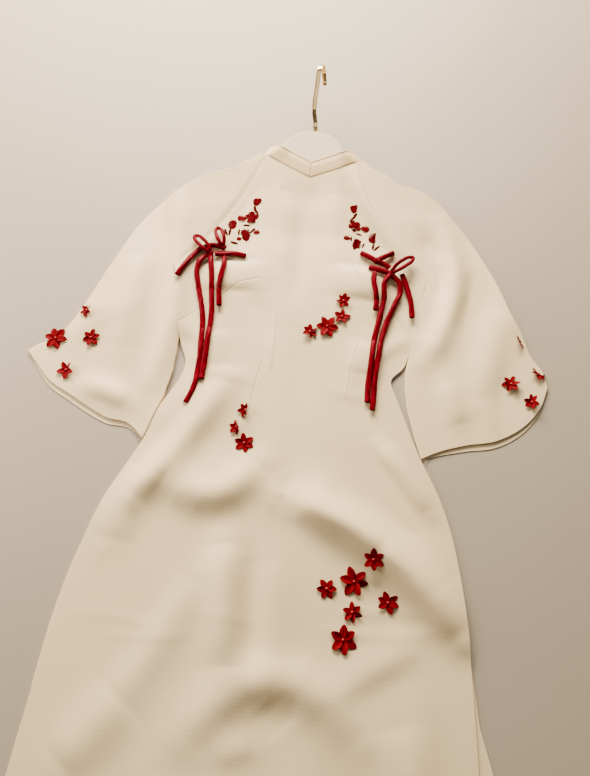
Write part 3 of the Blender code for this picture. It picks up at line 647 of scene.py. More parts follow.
def off_stitching(here, lines):
    """Distance in metres to the nearest of these lines, each given by two points."""
    flat = here.vector("MULTIPLY", (1, 1, 0))
    gaps = []
    for a, b in lines:
        a, b = place([(*a, 0), (*b, 0)])
        along = b - a
        away = flat.vector("SUBTRACT", tuple(a))
        share = (away.vector("DOT_PRODUCT", tuple(along), 1) / float(along @ along)).clamp()
        on_line = share.node("ShaderNodeVectorMath", {"operation": "SCALE"},
                             {0: tuple(along), "Scale": share})
        gaps.append(away.vector("DISTANCE", on_line, 1))
    return reduce(lambda one, other: one.maths("MINIMUM", one, other), gaps)


def crepe(name, light=IVORY, deep=IVORY_DEEP, darts=()):
    """Ivory crepe, with fine grooves along its darts, and a painted shadow along them."""
    made, shader, here, spread = new_finish(name, light, 0.52, Sheen_Weight=0.28,
                                            Sheen_Roughness=0.45, Specular_IOR_Level=0.42,
                                            Sheen_Tint=(1.0, 0.94, 0.86, 1))
    pebble = here.noise(PEBBLE, 3.0, Roughness=0.62)
    slub = spread.grain(*SLUB, 3.0)
    warp, weft = (spread.node("ShaderNodeTexWave", {"bands_direction": way},
                              {"Vector": spread, "Scale": THREADS, "Distortion": 1.2,
                               "Detail Scale": 3.0}, 1) for way in "XY")
    tone = (0.45 * here.noise(DRIFT, 1.0) + 0.35 * slub + 0.20 * pebble - 0.28) * 1.6
    colour = tone.clamp().mixed(light, deep)
    bump = relief(0.6 * pebble + 0.4 * (0.5 * warp + 0.5 * weft), 0.00016, 0.55)
    bump = relief(slub, 0.0003, 0.14, bump)
    if darts:
        gap = off_stitching(here, darts)
        line = (1 - gap / (DART_GROOVE * MM)).clamp()
        pull = (1 - gap / (DART_PULL * DART_GROOVE * MM)).clamp()
        bump = relief(1 - 0.6 * line - 0.4 * pull * pull, 0.0008, 0.8, bump)
        # painted shadow: the colour darkens along each dart's line, as shade in its groove
        colour = (DART_SHADE * line).mixed(colour, DART_SHADOW_TONE)
    feed(shader, colour, 0.46 + 0.12 * pebble, bump)
    return made


DARTS = {
    "left bust": [(-198, 46), (-177, 68), (-150, 95), (-117, 122), (-87, 148), (-57, 159)],
    "right bust": [(212, 58), (199, 74), (178, 101), (153, 124), (134, 140), (119, 152), (104, 178),
                   (93, 199)],
    "left waist, upper": [(-22, 92), (-20, 45), (-20, -2)],
    "left waist, lower": [(-37, 13), (-44, -28), (-48, -69)],
    "right waist, upper": [(113, 59), (106, 28), (101, -5)],
    "right waist, lower": [(104, 3), (101, -18), (99, -40)],
}
dart_lines = [pair for line in DARTS.values() for pair in zip(line, line[1:])]
front_crepe = crepe("ivory crepe, front", darts=dart_lines)
plain_crepe = crepe("ivory crepe")
# the collar's crepe, darker as painted shade
collar_shaded_crepe = crepe("ivory crepe, painted shade", COLLAR_SHADED_IVORY, COLLAR_SHADED_DEEP)
print("dart pieces:", len(dart_lines))

# %% [markdown]
# Satin is smooth along its threads, so its light runs in soft streaks along the ribbon. The streaks
# follow the UV map; they are painted into the satin's colour as light and shaded bands, and they
# also vary its roughness and bump. The flowers are cut from a duller red satin with a fine nap, and
# their petals are painted darker towards the middle, as shade round the bead. Their hearts are small
# covered beads.

# %% Red satins
# painted light and shade: the second ribbon red is the dark between the satin's streaks of light
RIBBON_RED, RIBBON_SHADED = (0.21, 0.0003, 0.011), (0.04, 0.0001, 0.002)
# painted shade: the second petal red is the petals' shaded colour near the flower's middle
PETAL_RED, PETAL_SHADED_RED = (0.25, 0.0006, 0.006), (0.11, 0.0003, 0.003)
HEART_RED = (0.42, 0.003, 0.012)
THREAD_RED, THREAD_DEEP = (0.16, 0.0003, 0.006), (0.10, 0.010, 0.008)
SATIN_TINT = (1.0, 0.04, 0.09, 1.0)
PETAL_FADE = 0.009  # metres from the flower's middle in which its deep tone fades


def ribbon_satin():
    made, shader, _, spread = new_finish("red ribbon satin", RIBBON_RED, 0.30,
                                         Specular_IOR_Level=0.07, Specular_Tint=SATIN_TINT)
    streak, crinkle = spread.grain(900.0, 55.0, 3.0), spread.grain(220.0, 420.0, 2.0)
    # painted light and shade: the streaks and crinkles lighten and darken the satin's colour
    tone = ((0.75 * streak + 0.25 * crinkle - 0.36) * 3.2).clamp()
    feed(shader, tone.mixed(RIBBON_SHADED, RIBBON_RED), 0.20 + 0.14 * streak,
         relief(crinkle, 0.0006, 0.55, relief(streak, 0.00035, 0.7)))
    return made


def petal_satin():
    made, shader, here, spread = new_finish("red petal satin", PETAL_RED, 0.5,
                                            Specular_IOR_Level=0.08, Specular_Tint=SATIN_TINT)
    nap = here.noise(1900.0, 2.0)
    reach = spread.node("ShaderNodeSeparateXYZ", {}, {0: spread}, 1)
    # painted shade: the petals darken towards the flower's middle, round the bead
    tone = (1 - (reach / PETAL_FADE).clamp() * 0.85 - 0.15 * nap).clamp()
    feed(shader, tone.mixed(PETAL_RED, PETAL_SHADED_RED), 0.40 + 0.22 * nap, relief(nap, 0.00018, 0.5))
    return made


def plain_red(name, colour, roughness, size, gloss):
    """A small red finish with a fine grain."""
    made, shader, here, _ = new_finish(name, colour, roughness, Specular_IOR_Level=gloss)
    grain = here.noise(size, 2.0)
    feed(shader, grain.mixed(colour, [0.6 * c for c in colour]), None, relief(grain, 0.0002, 0.5))
    return made


ribbon_red = ribbon_satin()
petal_red = petal_satin()
heart_red = plain_red("red covered bead", HEART_RED, 0.34, 900.0, 0.4)
thread_red = plain_red("red embroidery silk", THREAD_RED, 0.55, 1400.0, 0.015)
thread_deep = plain_red("brownish embroidery silk", THREAD_DEEP, 0.55, 1400.0, 0.015)
print("red finishes made")

# %% [markdown]
# ## The front
# The front is one long panel: raglan edges, a V neck under the collar, side seams, and slit edges
# from the hip down. It is made as rows of points from the neck to the hem, each as wide as the
# panel is there, and every point takes its height from the folds. A grid like this can be folded
# exactly where the real cloth is. A Solidify modifier then gives it the thickness of the crepe.

# %% The panels' outlines
HEM_Y = -790.0

RAGLAN = [
    # left_x, left_y, right_x, right_y, dip
    (-72, 395.4, 89, 395.4, 37.6),
    (-79, 362, 94, 365, 20),
    (-103, 320, 110, 327, 8),
    (-130, 272, 136, 283, 3),
    (-160, 228, 168, 239, 0),
    (-202, 170, 219, 184, 0),
]
SIDES = [
    # left_x, left_y, right_x, right_y, dip
    (-202, 170, 219, 184, 0),
    (-198.5, 155, 215.5, 168, 0),
    (-195, 138, 212, 150, 0),
    (-183, 88, 202, 96, 0),
    (-178, 62, 197, 66, 0),
    (-170, 33, 188, 27, 0),
    (-157, -2, 167, -3, 0),
    (-162, -28, 177, -30, 0),
    (-171.5, -50, 185, -50, 0),
    (-181.5, -68, 194, -72, 0),
    (-201, -130, 218, -126, 0),
    (-222, -177, 243, -174, 0),
    (-244, -226, 261, -222, 0),
    (-260, -290, 276, -288, 0),
    (-270, -340, 284, -340, 0),
    (-278, -405, 291, -408, 0),
    (-285, -466, 296, -470, 0),
    (-296, -600, 304, -600, 0),
    (-306, HEM_Y, 312, HEM_Y, 4),
]

BACK_SHIFT = [
    # y, left, right
    (-174, 0, 0),
    (-300, 3, 2),
    (-400, 5, 1),
    (-470, 2, 6),
    (-521, -3, 19),
    (-620, -9, 30),
    (HEM_Y, -16, 36),
]
RAGLAN_ROWS = 54
SIDE_ROWS = 216
PANEL_ROWS = RAGLAN_ROWS + SIDE_ROWS
PANEL_COLUMNS = 120
PANEL_CLOTH = 0.9
NECK_BOW = 0.9  # the power that bends the neckline's two sides
SHARP = 50.0  # degrees; the cloth's edges are sharper than this


def panel_edges():
    """The front's left and right edge, row by row."""
    return np.vstack([curve_through(RAGLAN, RAGLAN_ROWS), curve_through(SIDES, SIDE_ROWS)[1:]])


def across_rows(edges):
    """Rows of points in plan between a left and a right edge."""
    u = np.linspace(0, 1, PANEL_COLUMNS + 1)
    left_x, left_y, right_x, right_y = (side[:, None] for side in edges[:, :4].T)
    return np.stack([left_x + (right_x - left_x) * u, left_y + (right_y - left_y) * u], axis=-1)


def grid_faces(rows, columns):
    """The quads of a grid of this many rows and columns of quads."""
    wide = columns + 1
    return [(r * wide + c, r * wide + c + 1, (r + 1) * wide + c + 1, (r + 1) * wide + c)
            for r in range(rows) for c in range(columns)]


def slab_faces(rows, columns):
    """The same grid twice, one above the other, and the walls that join their rims."""
    grid, wide, count = grid_faces(rows, columns), columns + 1, (rows + 1) * (columns + 1)
    rim = ([r * wide for r in range(rows + 1)] + [count - wide + c for c in range(1, wide)]
           + [(r + 1) * wide - 1 for r in range(rows - 1, -1, -1)]
           + list(range(columns - 1, 0, -1)))
    return (grid + [tuple(i + count for i in face[::-1]) for face in grid]
            + [(a, b, b + count, a + count) for a, b in zip(rim, rim[1:] + rim[:1])])


def area_of(points, faces):
    """Flat area in square metres of quads of points in millimetres."""
    points = np.asarray(points, float)[:, :2]
    quads = points[np.array(faces)]
    x, y = quads[:, :, 0], quads[:, :, 1]
    turned = np.sum(x * np.roll(y, -1, axis=1) - y * np.roll(x, -1, axis=1), axis=1)
    return float(np.abs(turned).sum()) / 2 * MM * MM


print("front:", len(panel_edges()), "rows")

# %% The front panel
edges = panel_edges()
front_points = across_rows(edges)
neck = (1 - np.abs(2 * np.linspace(0, 1, PANEL_COLUMNS + 1) - 1)) ** NECK_BOW
front_points[:, :, 1] -= edges[:, 4:] * neck
front_points = front_points.reshape(-1, 2)
panel_faces = grid_faces(PANEL_ROWS, PANEL_COLUMNS)
front_mesh = mesh_from("front", np.column_stack([front_points, cloth_top(front_points)]),
                       panel_faces, front_points)
front_mesh.flip_normals()  # the rows run downwards, so its faces looked down
front_mesh.materials.append(front_crepe)
front = in_scene("front", front_mesh)
wall = front.modifiers.new("cloth", "SOLIDIFY")
wall.thickness = PANEL_CLOTH * MM
wall.offset = -1.0
front_mesh = baked(front)
front.modifiers.clear()
front.data = front_mesh
front_mesh.shade_smooth()
front_mesh.set_sharp_from_angle(angle=math.radians(SHARP))

# %% [markdown]
# ## The back
# The back is the same panel under the front, turned a little askew, so that a strip of it shows
# beside the right slit. It rests on the floor, so its underside is flat. Its top has only the
# slight waves that a pressed panel keeps.

# %% The back panel
BACK_CLOTH = 1.2
BACK_NECK_RISE = 9.1
BACK_ROWS_AT_NECK = 12
BACK_HEM_DROP = 7.0
BACK_HEM_BOW = 2.0
BACK_WAVE = 0.14

shift = np.array(BACK_SHIFT, float)
back_edges = edges.copy()
for side, way in ((0, -1), (2, 1)):
    back_edges[:, side] += way * np.interp(-edges[:, side + 1], -shift[:, 0],
                                           shift[:, 1 + side // 2])
down = np.arange(len(edges))[:, None]
bow = np.sin(math.pi * np.linspace(0, 1, PANEL_COLUMNS + 1))
rise = BACK_NECK_RISE * np.maximum(1 - down / BACK_ROWS_AT_NECK, 0) * bow ** 0.6
near_hem = (down / (len(edges) - 1)) ** 20
back_points = across_rows(back_edges)
back_points[:, :, 1] += rise - (BACK_HEM_DROP * near_hem + BACK_HEM_BOW * bow * near_hem)
back_points = back_points.reshape(-1, 2)
x, y = back_points.T
back_height = BACK_CLOTH + BACK_WAVE * np.sin(x / 31.0 + y / 57.0) * np.sin(y / 83.0)
back_layers = [np.column_stack([back_points, height]) for height in (back_height, 0 * x)]
back_mesh = mesh_from("back", np.vstack(back_layers), slab_faces(PANEL_ROWS, PANEL_COLUMNS),
                      np.vstack([back_points, back_points]))
back = finished("back", back_mesh, plain_crepe, SHARP)

# %% [markdown]
# ## The sleeves
# A raglan sleeve runs up to the collar. Laid flat it is a tube with a fold along the top of the arm
# and one under it, open along the raglan seam and at the cuff. Each row is a loop: across the upper
# layer, round the under-arm fold, back along the floor and round the over-arm fold. The inner
# loop is the same one a cloth's thickness smaller, so the cuff is really open.

# %% The sleeves' outlines
UNDER_ARM = [
    # y, left, right
    (170, 0.8, 0.8),
    (42, 1.2, 0.8),
    (24, 7.0, 3.5),
    (-2, 17.0, 22.0),
    (-16, 15.5, 19.0),
    (-33, 13.0, 13.5),
    (-49, 8.5, 10.0),
    (-63, 2.5, 8.0),
    (-75, 1.0, 6.5),
    (-95, 1.0, 4.0),
    (-130, 1.0, 1.0),
]

OVER_ARM_LEFT = [(-83, 397.5), (-95, 389), (-113, 379), (-122, 369), (-145, 362), (-188, 343),
                 (-236, 304), (-274, 251), (-305, 177), (-323, 129), (-335, 93), (-351, 54),
                 (-366, 29), (-399, 6), (-410, -4)]
CUFF_LEFT = [(-410, -4), (-394, -20), (-363, -51), (-329, -69), (-293, -88), (-262, -102),
             (-228, -108), (-202, -129)]
OVER_ARM_RIGHT = [(100, 397.5), (113, 386), (137, 377), (168, 359), (205, 350), (233, 335),
                  (257, 309), (283, 277), (307, 239), (333, 191), (358, 130), (374, 96),
                  (387, 60), (404, 36), (410, 12)]
CUFF_RIGHT = [(410, 12), (398, -22), (370, -57), (328, -83), (283, -94), (240, -109),
              (217, -121)]
CORNER_CLEAR = 14.0
UNDER_ARM_STEPS = 90
SLEEVE_COLUMNS = 44
SLEEVE_CLOTH = 0.8
CUFF_BACK_DROP = 10.0
ROLL_STEPS = 7


def outwards(line, distance, side):
    """The line moved sideways in plan, to -X for side -1 and to +X for side 1."""
    line = np.array(line, float)
    along = np.gradient(line, axis=0)
    along /= np.linalg.norm(along, axis=1)[:, None]
    across = np.column_stack([-along[:, 1], along[:, 0]])
    across *= np.where(across[:, :1] * side < 0, -1, 1)
    return line + distance * across


def sides_of(edges, side):
    """The left edge's points for side -1, and the right edge's for side 1."""
    return edges[:, :2] if side < 0 else edges[:, 2:4]


def under_arm(side, corner):
    """The sleeve's under-arm fold beside the front's side seam, down to the cuff's corner."""
    levels = curve_through(UNDER_ARM, UNDER_ARM_STEPS)
    line = []
    for x, y in sides_of(curve_through(SIDES, SIDE_ROWS), side):
        if y > corner[1] + CORNER_CLEAR:
            out = np.interp(-y, -levels[:, 0], levels[:, 1 if side < 0 else 2])
            line.append((x + side * out, y))
    return np.array(line[1:] + [corner])


def sleeve_plan(side, over, cuff):
    """Rows of points from the over-arm fold to the seam, then to the under-arm fold."""
    seam = outwards(sides_of(curve_through(RAGLAN, RAGLAN_ROWS), side), SEAM_GAP, side)
    under = under_arm(side, cuff[-1])
    over_line = curve_through(over, RAGLAN_ROWS + len(under))
    cuff_line = curve_through(cuff, SLEEVE_COLUMNS)
    shares = np.linspace(0, 1, SLEEVE_COLUMNS + 1)[:, None]
    bow = cuff_line - (cuff_line[0] * (1 - shares) + cuff_line[-1] * shares)
    rows = []
    for j, (first, last) in enumerate(zip(over_line, np.vstack([seam, under]))):
        below = max(j - RAGLAN_ROWS, 0) / len(under)
        rows.append(first * (1 - shares) + last * shares + bow * below ** 1.5)
    return np.array(rows)


print("under the left arm:", len(under_arm(-1, CUFF_LEFT[-1])), "points")

# %% One row of a sleeve
OVER_INSET = (0.35, 4.0)  # share of the height, and the most in millimetres
UNDER_INSET = (0.35, 3.0)
FOLD_EASE = 0.01


def fold_round(edge, inwards, reach, high, thick):
    """Points round a fold's edge, from its upper layer down to its lower one."""
    angles = math.pi * (0.5 - np.arange(1, ROLL_STEPS + 1) / (ROLL_STEPS + 1))
    spots = edge + inwards * (reach - (reach - thick) * np.cos(angles))[:, None]
    return np.column_stack([spots, high / 2 + (high / 2 - thick) * np.sin(angles)])


def sleeve_loop(plan, tops, down, sewn, thick):
    """One closed loop: upper layer, under-arm fold, lower layer, over-arm fold."""
    first, last = plan[0], plan[-1]
    from_first = (plan[1] - first) / np.linalg.norm(plan[1] - first)
    from_last = (plan[-2] - last) / np.linalg.norm(plan[-2] - last)
    over_in = min(OVER_INSET[0] * tops[0], OVER_INSET[1])
    under_in = 0.0 if sewn else min(UNDER_INSET[0] * tops[-1], UNDER_INSET[1])
    line = plan.copy()
    line[0] = first + from_first * over_in
    line[-1] = last + from_last * under_in
    upper = np.column_stack([line, tops - thick])
    drop = down * np.sin(math.pi * np.linspace(0, 1, len(line))) ** 0.5
    lower = np.column_stack([line[:, 0], line[:, 1] - drop, np.full(len(line), thick)])
    under_fold = fold_round(last, from_last, under_in + FOLD_EASE, tops[-1], thick)
    over_fold = fold_round(first, from_first, over_in + FOLD_EASE, tops[0], thick)[::-1]
    return np.vstack([upper, under_fold, lower[::-1], over_fold])


print("points round a sleeve:", 2 * (SLEEVE_COLUMNS + 1) + 2 * ROLL_STEPS)

# %% Both sleeves
def sleeve(name, side, over, cuff):
    """A flattened sleeve, and its cut's area when it is opened out."""
    plan = sleeve_plan(side, over, cuff)
    rows = len(plan)
    tops = cloth_top(plan.reshape(-1, 2)).reshape(plan.shape[:2])
    loops = []
    for thick in (0.0, SLEEVE_CLOTH):
        for j in range(rows):
            down = CUFF_BACK_DROP * (j / (rows - 1)) ** 8
            loops.append(sleeve_loop(plan[j], tops[j], down, j <= RAGLAN_ROWS, thick))
    around = len(loops[0])
    inside = rows * around
    wide = SLEEVE_COLUMNS + 1
    open_from, open_to = wide - 1, wide + ROLL_STEPS
    faces = []
    for j in range(rows - 1):
        here, there = j * around, (j + 1) * around
        for i in range(around):
            k = (i + 1) % around
            if j < RAGLAN_ROWS and open_from <= i < open_to:
                continue
            faces.append((here + i, here + k, there + k, there + i))
            faces.append((inside + here + i, inside + there + i,
                          inside + there + k, inside + here + k))
        if j < RAGLAN_ROWS:  # the two edges of the open raglan seam
            for i in (open_from, open_to):
                faces.append((here + i, there + i, inside + there + i, inside + here + i))
    for j in (0, RAGLAN_ROWS, rows - 1):  # the neck's edge, the seam's end and the cuff
        for i in range(around):
            in_fold = open_from <= i < open_to
            if (j == 0 and in_fold) or (j == RAGLAN_ROWS and not in_fold):
                continue
            a, b = j * around + i, j * around + (i + 1) % around
            faces.append((a, b, inside + b, inside + a))
    points = np.vstack(loops)
    piece = finished(name, mesh_from(name, points, faces, points[:, :2]), plain_crepe, SHARP)
    return piece, 2 * area_of(plan.reshape(-1, 2), grid_faces(rows - 1, SLEEVE_COLUMNS))


sleeve_left, left_area = sleeve("sleeve-left", -1, OVER_ARM_LEFT, CUFF_LEFT)
sleeve_right, right_area = sleeve("sleeve-right", 1, OVER_ARM_RIGHT, CUFF_RIGHT)
print("sleeves:", round(left_area, 3), round(right_area, 3), "m2")

# %% [markdown]
# ## The stand collar
# The collar is a stiffened band in two halves, joined by a seam at the centre front. A band has
# flat faces, crisp edges and a fine stitched line below its top edge, so its section is drawn as
# such and carried round the neck.

# %% The collar
COLLAR = [
    # base_x, base_y, base_z, top_x, top_y, top_z
    (0, 360.6, 20.2, 0, 388, 26.6),
    (44, 378.6, 23.8, 36, 404, 29.6),
    (76, 394.0, 27.4, 62, 413, 31.4),
    (90, 399.5, 15.0, 76, 417.5, 20.5),
    (78, 403, 5.0, 64, 420, 10.5),
    (40, 405, 4.2, 34, 424, 12.0),
    (0, 406, 4.2, 0, 426, 13.0),
]
COLLAR_STEPS = 110
COLLAR_CLOTH = 1.7
COLLAR_SEAM_HIGH = 0.9
COLLAR_ROUND_FROM = 19.0
COLLAR_SEAM_AT = (0.4, 1.1)  # two more stations beside the middle seam
COLLAR_SEAM_SUNK = (0.9, 0.45, 0.1)  # how far the outer face sinks towards the middle seam
COLLAR_INNER = 0.9
COLLAR_BAND = 24.0
COLLAR_SHARP = 38.0
COLLAR_SECTION = [
    # share of the height, how far out of the band's middle, on the outer face
    (-0.06, -0.30), (-0.02, 0.20), (0.01, 0.80), (0.05, 1.04), (0.20, 1.10), (0.50, 1.16),
    (0.845, 1.02), (0.868, 0.66), (0.89, 0.66), (0.912, 1.10), (0.955, 1.20), (0.99, 1.02),
    (1.0, 0.5),
]


def collar_half(name, side):
    """Half of the collar, from the centre front seam round to the centre back."""
    stations = curve_through(COLLAR, COLLAR_STEPS)
    stations[[0, 0, -1, -1], [0, 3, 0, 3]] = SEAM_GAP / 2
    step = (stations[1] - stations[0]) / np.linalg.norm(stations[1, :3] - stations[0, :3])
    stations = np.insert(stations, 1, [stations[0] + step * at for at in COLLAR_SEAM_AT], axis=0)
    base, top = stations[:, :3], stations[:, 3:6]
    sewn = base[:, 2] > COLLAR_ROUND_FROM
    rest = cloth_top(base[:, :2] * [side, 1] + [COLLAR_X, 0]) + COLLAR_SEAM_HIGH
    base[sewn, 2] = np.minimum(base[sewn, 2], rest[sewn])
    out = np.cross(np.gradient((base + top) / 2, axis=0), top - base)
    out /= np.linalg.norm(out, axis=1)[:, None]
    far, shift = run_along(base), COLLAR_CLOTH / 2
    section = [*COLLAR_SECTION, *((share, -min(reach, COLLAR_INNER))
                                  for share, reach in COLLAR_SECTION[::-1])]
    points, spread = [], []
    for j in range(len(stations)):
        sunk = COLLAR_SEAM_SUNK[j] if j < len(COLLAR_SEAM_SUNK) else 0
        points += [base[j] + (top[j] - base[j]) * share
                   + out[j] * (reach * shift - shift - sunk * (reach > 0))
                   for share, reach in section]
        spread += [(far[j], share * COLLAR_BAND) for share, _ in section]
    points = np.array(points) * [side, 1, 1] + [COLLAR_X, 0, 0]
    crossed = side * (points[:, 0] - COLLAR_X) < 0
    points[crossed, 0] = COLLAR_X + side * SEAM_GAP / 2
    mesh = mesh_from(name, points, tube_faces(len(stations), len(section)), spread)
    return finished(name, mesh, collar_shaded_crepe, COLLAR_SHARP)


collar_left = collar_half("collar-left", -1)
collar_right = collar_half("collar-right", 1)
print("collar halves:", len(collar_left.data.polygons), "faces each")

# %% [markdown]
# ## The ribbons, made and listed as cords
# Each ribbon is swept along its route, and the ones that are free between their knot and their cut
# end are listed as cords. The shortest few are only stubs, and they are left out of that list, as
# the knots are.

# %% Knots
WRAP_TURNS = 2.5
WRAP_STEPS = 70
WRAP_START = -0.6
WRAP_LONG = 7.5
WRAP_NARROWING = 0.22
WRAP_HALF = (3.7, 2.9)  # across and up
WRAP_RIBBON = (4.8, 3.8)
CORE = (4.6, 4.4)
CORE_PLEATS = 9
KNOT_HIGH = 10.0
KNOT_AXIS = {"left_outer": -8, "left_inner": -30, "right_inner": -25, "right_outer": -52}


def knot_line(x, y, base, degrees):
    """A ribbon wound round the others: turns side by side along the way that they run."""
    share = np.linspace(0, 1, WRAP_STEPS)
    angle = 2 * math.pi * WRAP_TURNS * share + WRAP_START
    along, across = facing(degrees)
    swell = 1 - WRAP_NARROWING * (2 * share - 1) ** 2
    flat = (np.array([x, y]) + np.outer(WRAP_LONG * (share - 0.5), along)
            + np.outer(WRAP_HALF[0] * swell * np.cos(angle), across))
    high = base + KNOT_HIGH / 2 + WRAP_HALF[1] * swell * np.sin(angle)
    return np.column_stack([flat, high])


def shaped_ball(shell, shape):
    """Adds a ball of radius 1 whose points go where shape puts them, in millimetres."""
    ball = bmesh.ops.create_icosphere(shell, subdivisions=3, radius=1)["verts"]
    for vert in ball:
        vert.co = place([shape(*vert.co)])[0]
    return ball


def knot(side):
    """A knot: its windings, and a pleated middle under them."""
    x, y = KNOTS[side]
    base = float(form_top([(x, y)])[0]) + REST_GAP
    piece = rouleau("knot-" + side.replace("_", "-"), knot_line(x, y, base, KNOT_AXIS[side]),
                    *WRAP_RIBBON, ribbon_red, x)

    def pleated(px, py, pz):
        pleat = 1 + 0.07 * math.sin(CORE_PLEATS * math.atan2(py, px) + 3 * pz)
        return (x + px * CORE[0] * pleat, y + py * CORE[1] * pleat,
                base + KNOT_HIGH * (0.46 + 0.34 * pz))

    core = bmesh.new()
    shaped_ball(core, pleated)
    middle = bpy.data.meshes.new("core")
    core.to_mesh(middle)
    core.free()
    middle.uv_layers.new(name="along")
    middle.shade_smooth()
    both = bmesh.new()
    both.from_mesh(piece.data)
    both.from_mesh(middle)
    both.to_mesh(piece.data)
    both.free()
    bpy.data.meshes.remove(middle)
    return piece


knots = {side: knot(side) for side in KNOTS}
print("knots:", list(knots))

# %% Ribbons as cords
RIBBON_SECTION = (9.0, 6.8)
LOOP_SECTION = (LOOP * 1.12, LOOP * 0.92)
SHORTEST_CORD = 48.0

cords, ribbons = [], {}
for number, (name, tied_to, route) in enumerate(TIES):
    line = tie_line(route, tied_to)
    ribbons[name] = rouleau(name.replace("_", "-"), line, *RIBBON_SECTION, ribbon_red, 1.9 * number)
    if run_along(line)[-1] >= SHORTEST_CORD:
        cords.append((ribbons[name], line, TIE, "bare"))
for number, (name, tied_to, degrees, length) in enumerate(LOOPS):
    line = loop_line(tied_to, degrees, length)
    ribbons[name] = rouleau(name.replace("_", "-"), line, *LOOP_SECTION, ribbon_red,
                            2.3 * number + 1)
    cords.append((ribbons[name], line, LOOP, "object"))
ribbons.update({"knot_" + side: piece for side, piece in knots.items()})
for name, piece in ribbons.items():
    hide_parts(name)
    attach(piece, "root")

for piece, line, wide, end in cords:
    route = [tuple(float(v) for v in spot) for spot in place(line)]
print("cords:", {piece.name: round(run_along(line)[-1]) for piece, line, _, _ in cords})

# %% [markdown]
# ## The flowers
# Each flower is a handful of separate satin petals, sewn down at the middle under a covered bead.
# A petal is a pointed oval, cupped across and curled up towards its tip, and no two lie alike. So a
# petal is a small grid that is shaped by a formula, and each one takes its own tilt from a seeded
# draw. The few flowers that stand half on edge are turned one by one.

# %% Petals
FLOWERS = [
    # name, x, y, width, petals, turn in degrees
    ("chest_1", 84, 129, 27, 6, 45),
    ("chest_2", 83, 101, 27, 5, 46),
    ("chest_3", 61, 82, 38, 6, 30),
    ("chest_4", 34, 70, 27, 6, 2),
    ("belly_1", -53, -71, 25, 6, 40),
    ("belly_2", -63, -99, 24, 6, 15),
    ("belly_3", -48, -123, 30, 6, 17),
    ("skirt_1", 152, -274, 30, 6, 5),
    ("skirt_2", 128, -305, 40, 6, 23),
    ("skirt_3", 91, -318, 29, 6, 35),
    ("skirt_4", 176, -328, 30, 6, 12),
    ("skirt_5", 128, -345, 28, 6, 10),
    ("skirt_6", 118, -381, 39, 6, 8),
    ("sleeve_left_1", -329, 72, 24, 6, 0),
    ("sleeve_left_2", -370, 20, 38, 6, 25),
    ("sleeve_left_3", -313, 26, 29, 6, 50),
    ("sleeve_left_4", -341, -32, 31, 5, 20),
    ("sleeve_right_1", 368, 84, 23, 6, 30),
    ("sleeve_right_2", 353, 11, 29, 6, 40),
    ("sleeve_right_3", 384, -16, 26, 6, 10),
    ("sleeve_right_4", 396, 32, 25, 6, 40),
]
PETAL_LONG = 15
PETAL_WIDE = 9
PETAL_CLOTH = 0.5
PETAL_ROOT = 0.03
PETAL_HALF = 0.138
PETAL_CUP = 0.20
PETAL_KEEL = 0.05
HEART_RADIUS = 2.0
FOLDED = {
    # flower: (direction in degrees of its fold, how steep its far side is, and its near side)
    "belly_1": (-10, 62, 0), "belly_2": (10, 62, 6), "chest_1": (15, 30, 0),
    "sleeve_right_1": (28, -58, 62), "sleeve_right_4": (50, -40, 28),
    "sleeve_left_1": (10, 42, 0), "sleeve_left_4": (25, 30, 0), "sleeve_right_3": (-10, 38, 0),
    "sleeve_right_2": (-35, 30, 0), "chest_4": (215, 24, 0),
}
draw = np.random.default_rng(21)


def petal_points(width, lift, roll, cup, twist):
    """A petal along +X from the middle: rows from root to tip, in millimetres."""
    s = np.linspace(0, 1, PETAL_LONG)[:, None]
    t = np.linspace(-1, 1, PETAL_WIDE)[None, :]
    reach = width * (PETAL_ROOT + (0.5 - PETAL_ROOT) * s)
    half = width * (0.02 * (1 - s) + PETAL_HALF * np.sin(math.pi * s ** 0.9) ** 0.62)
    across = half * t
    bowl = cup * t * t * half * PETAL_CUP
    keel = -PETAL_KEEL * half * np.exp(-(t / 0.3) ** 2)
    rise = width * 0.5 * (lift * s ** 1.3 - 0.10 * s ** 6)
    turn = roll * np.sin(math.pi * s * 0.9) + twist * s
    x = reach + 0 * t
    y = across * np.cos(turn) - (bowl + keel) * np.sin(turn)
    z = rise + (bowl + keel) * np.cos(turn) + across * np.sin(turn)
    return np.stack([x, y, z], axis=-1).reshape(-1, 3)


def fold_up(points, degrees, far_steep, near_steep):
    """Bends a flower about a line through its middle: its far side and its near side."""
    way, _ = facing(degrees)
    far = points[:, :2] @ way
    steep = np.radians(np.where(far > 0, far_steep, near_steep))
    bent = points.copy()
    bent[:, :2] += np.outer(far * (np.cos(steep) - 1)
                            - np.sign(far) * points[:, 2] * np.sin(steep), way)
    bent[:, 2] = points[:, 2] * np.cos(steep) + np.abs(far) * np.sin(steep)
    return bent


print("petal:", PETAL_LONG, "by", PETAL_WIDE, "points")

# %% Flowers
FLOWER_LIFT = 1.2
PETAL_CLEAR = 0.9
PETAL_LOWEST = 1.0
PETAL_STAGGER = 0.3
PETAL_DRAWS = {
    # the least and the most
    "length": (0.97, 1.08), "lift": (0.03, 0.22), "cup": (0.3, 1.0),
    # how far one strays, as a standard deviation in radians
    "turn": 0.08, "roll": 0.30, "twist": 0.25,
}
HEART_LIFT = 0.4
HEART_PINCHES = 4
HEART_HIGH = (0.6, 0.8)  # its middle and its half height, as shares of its radius


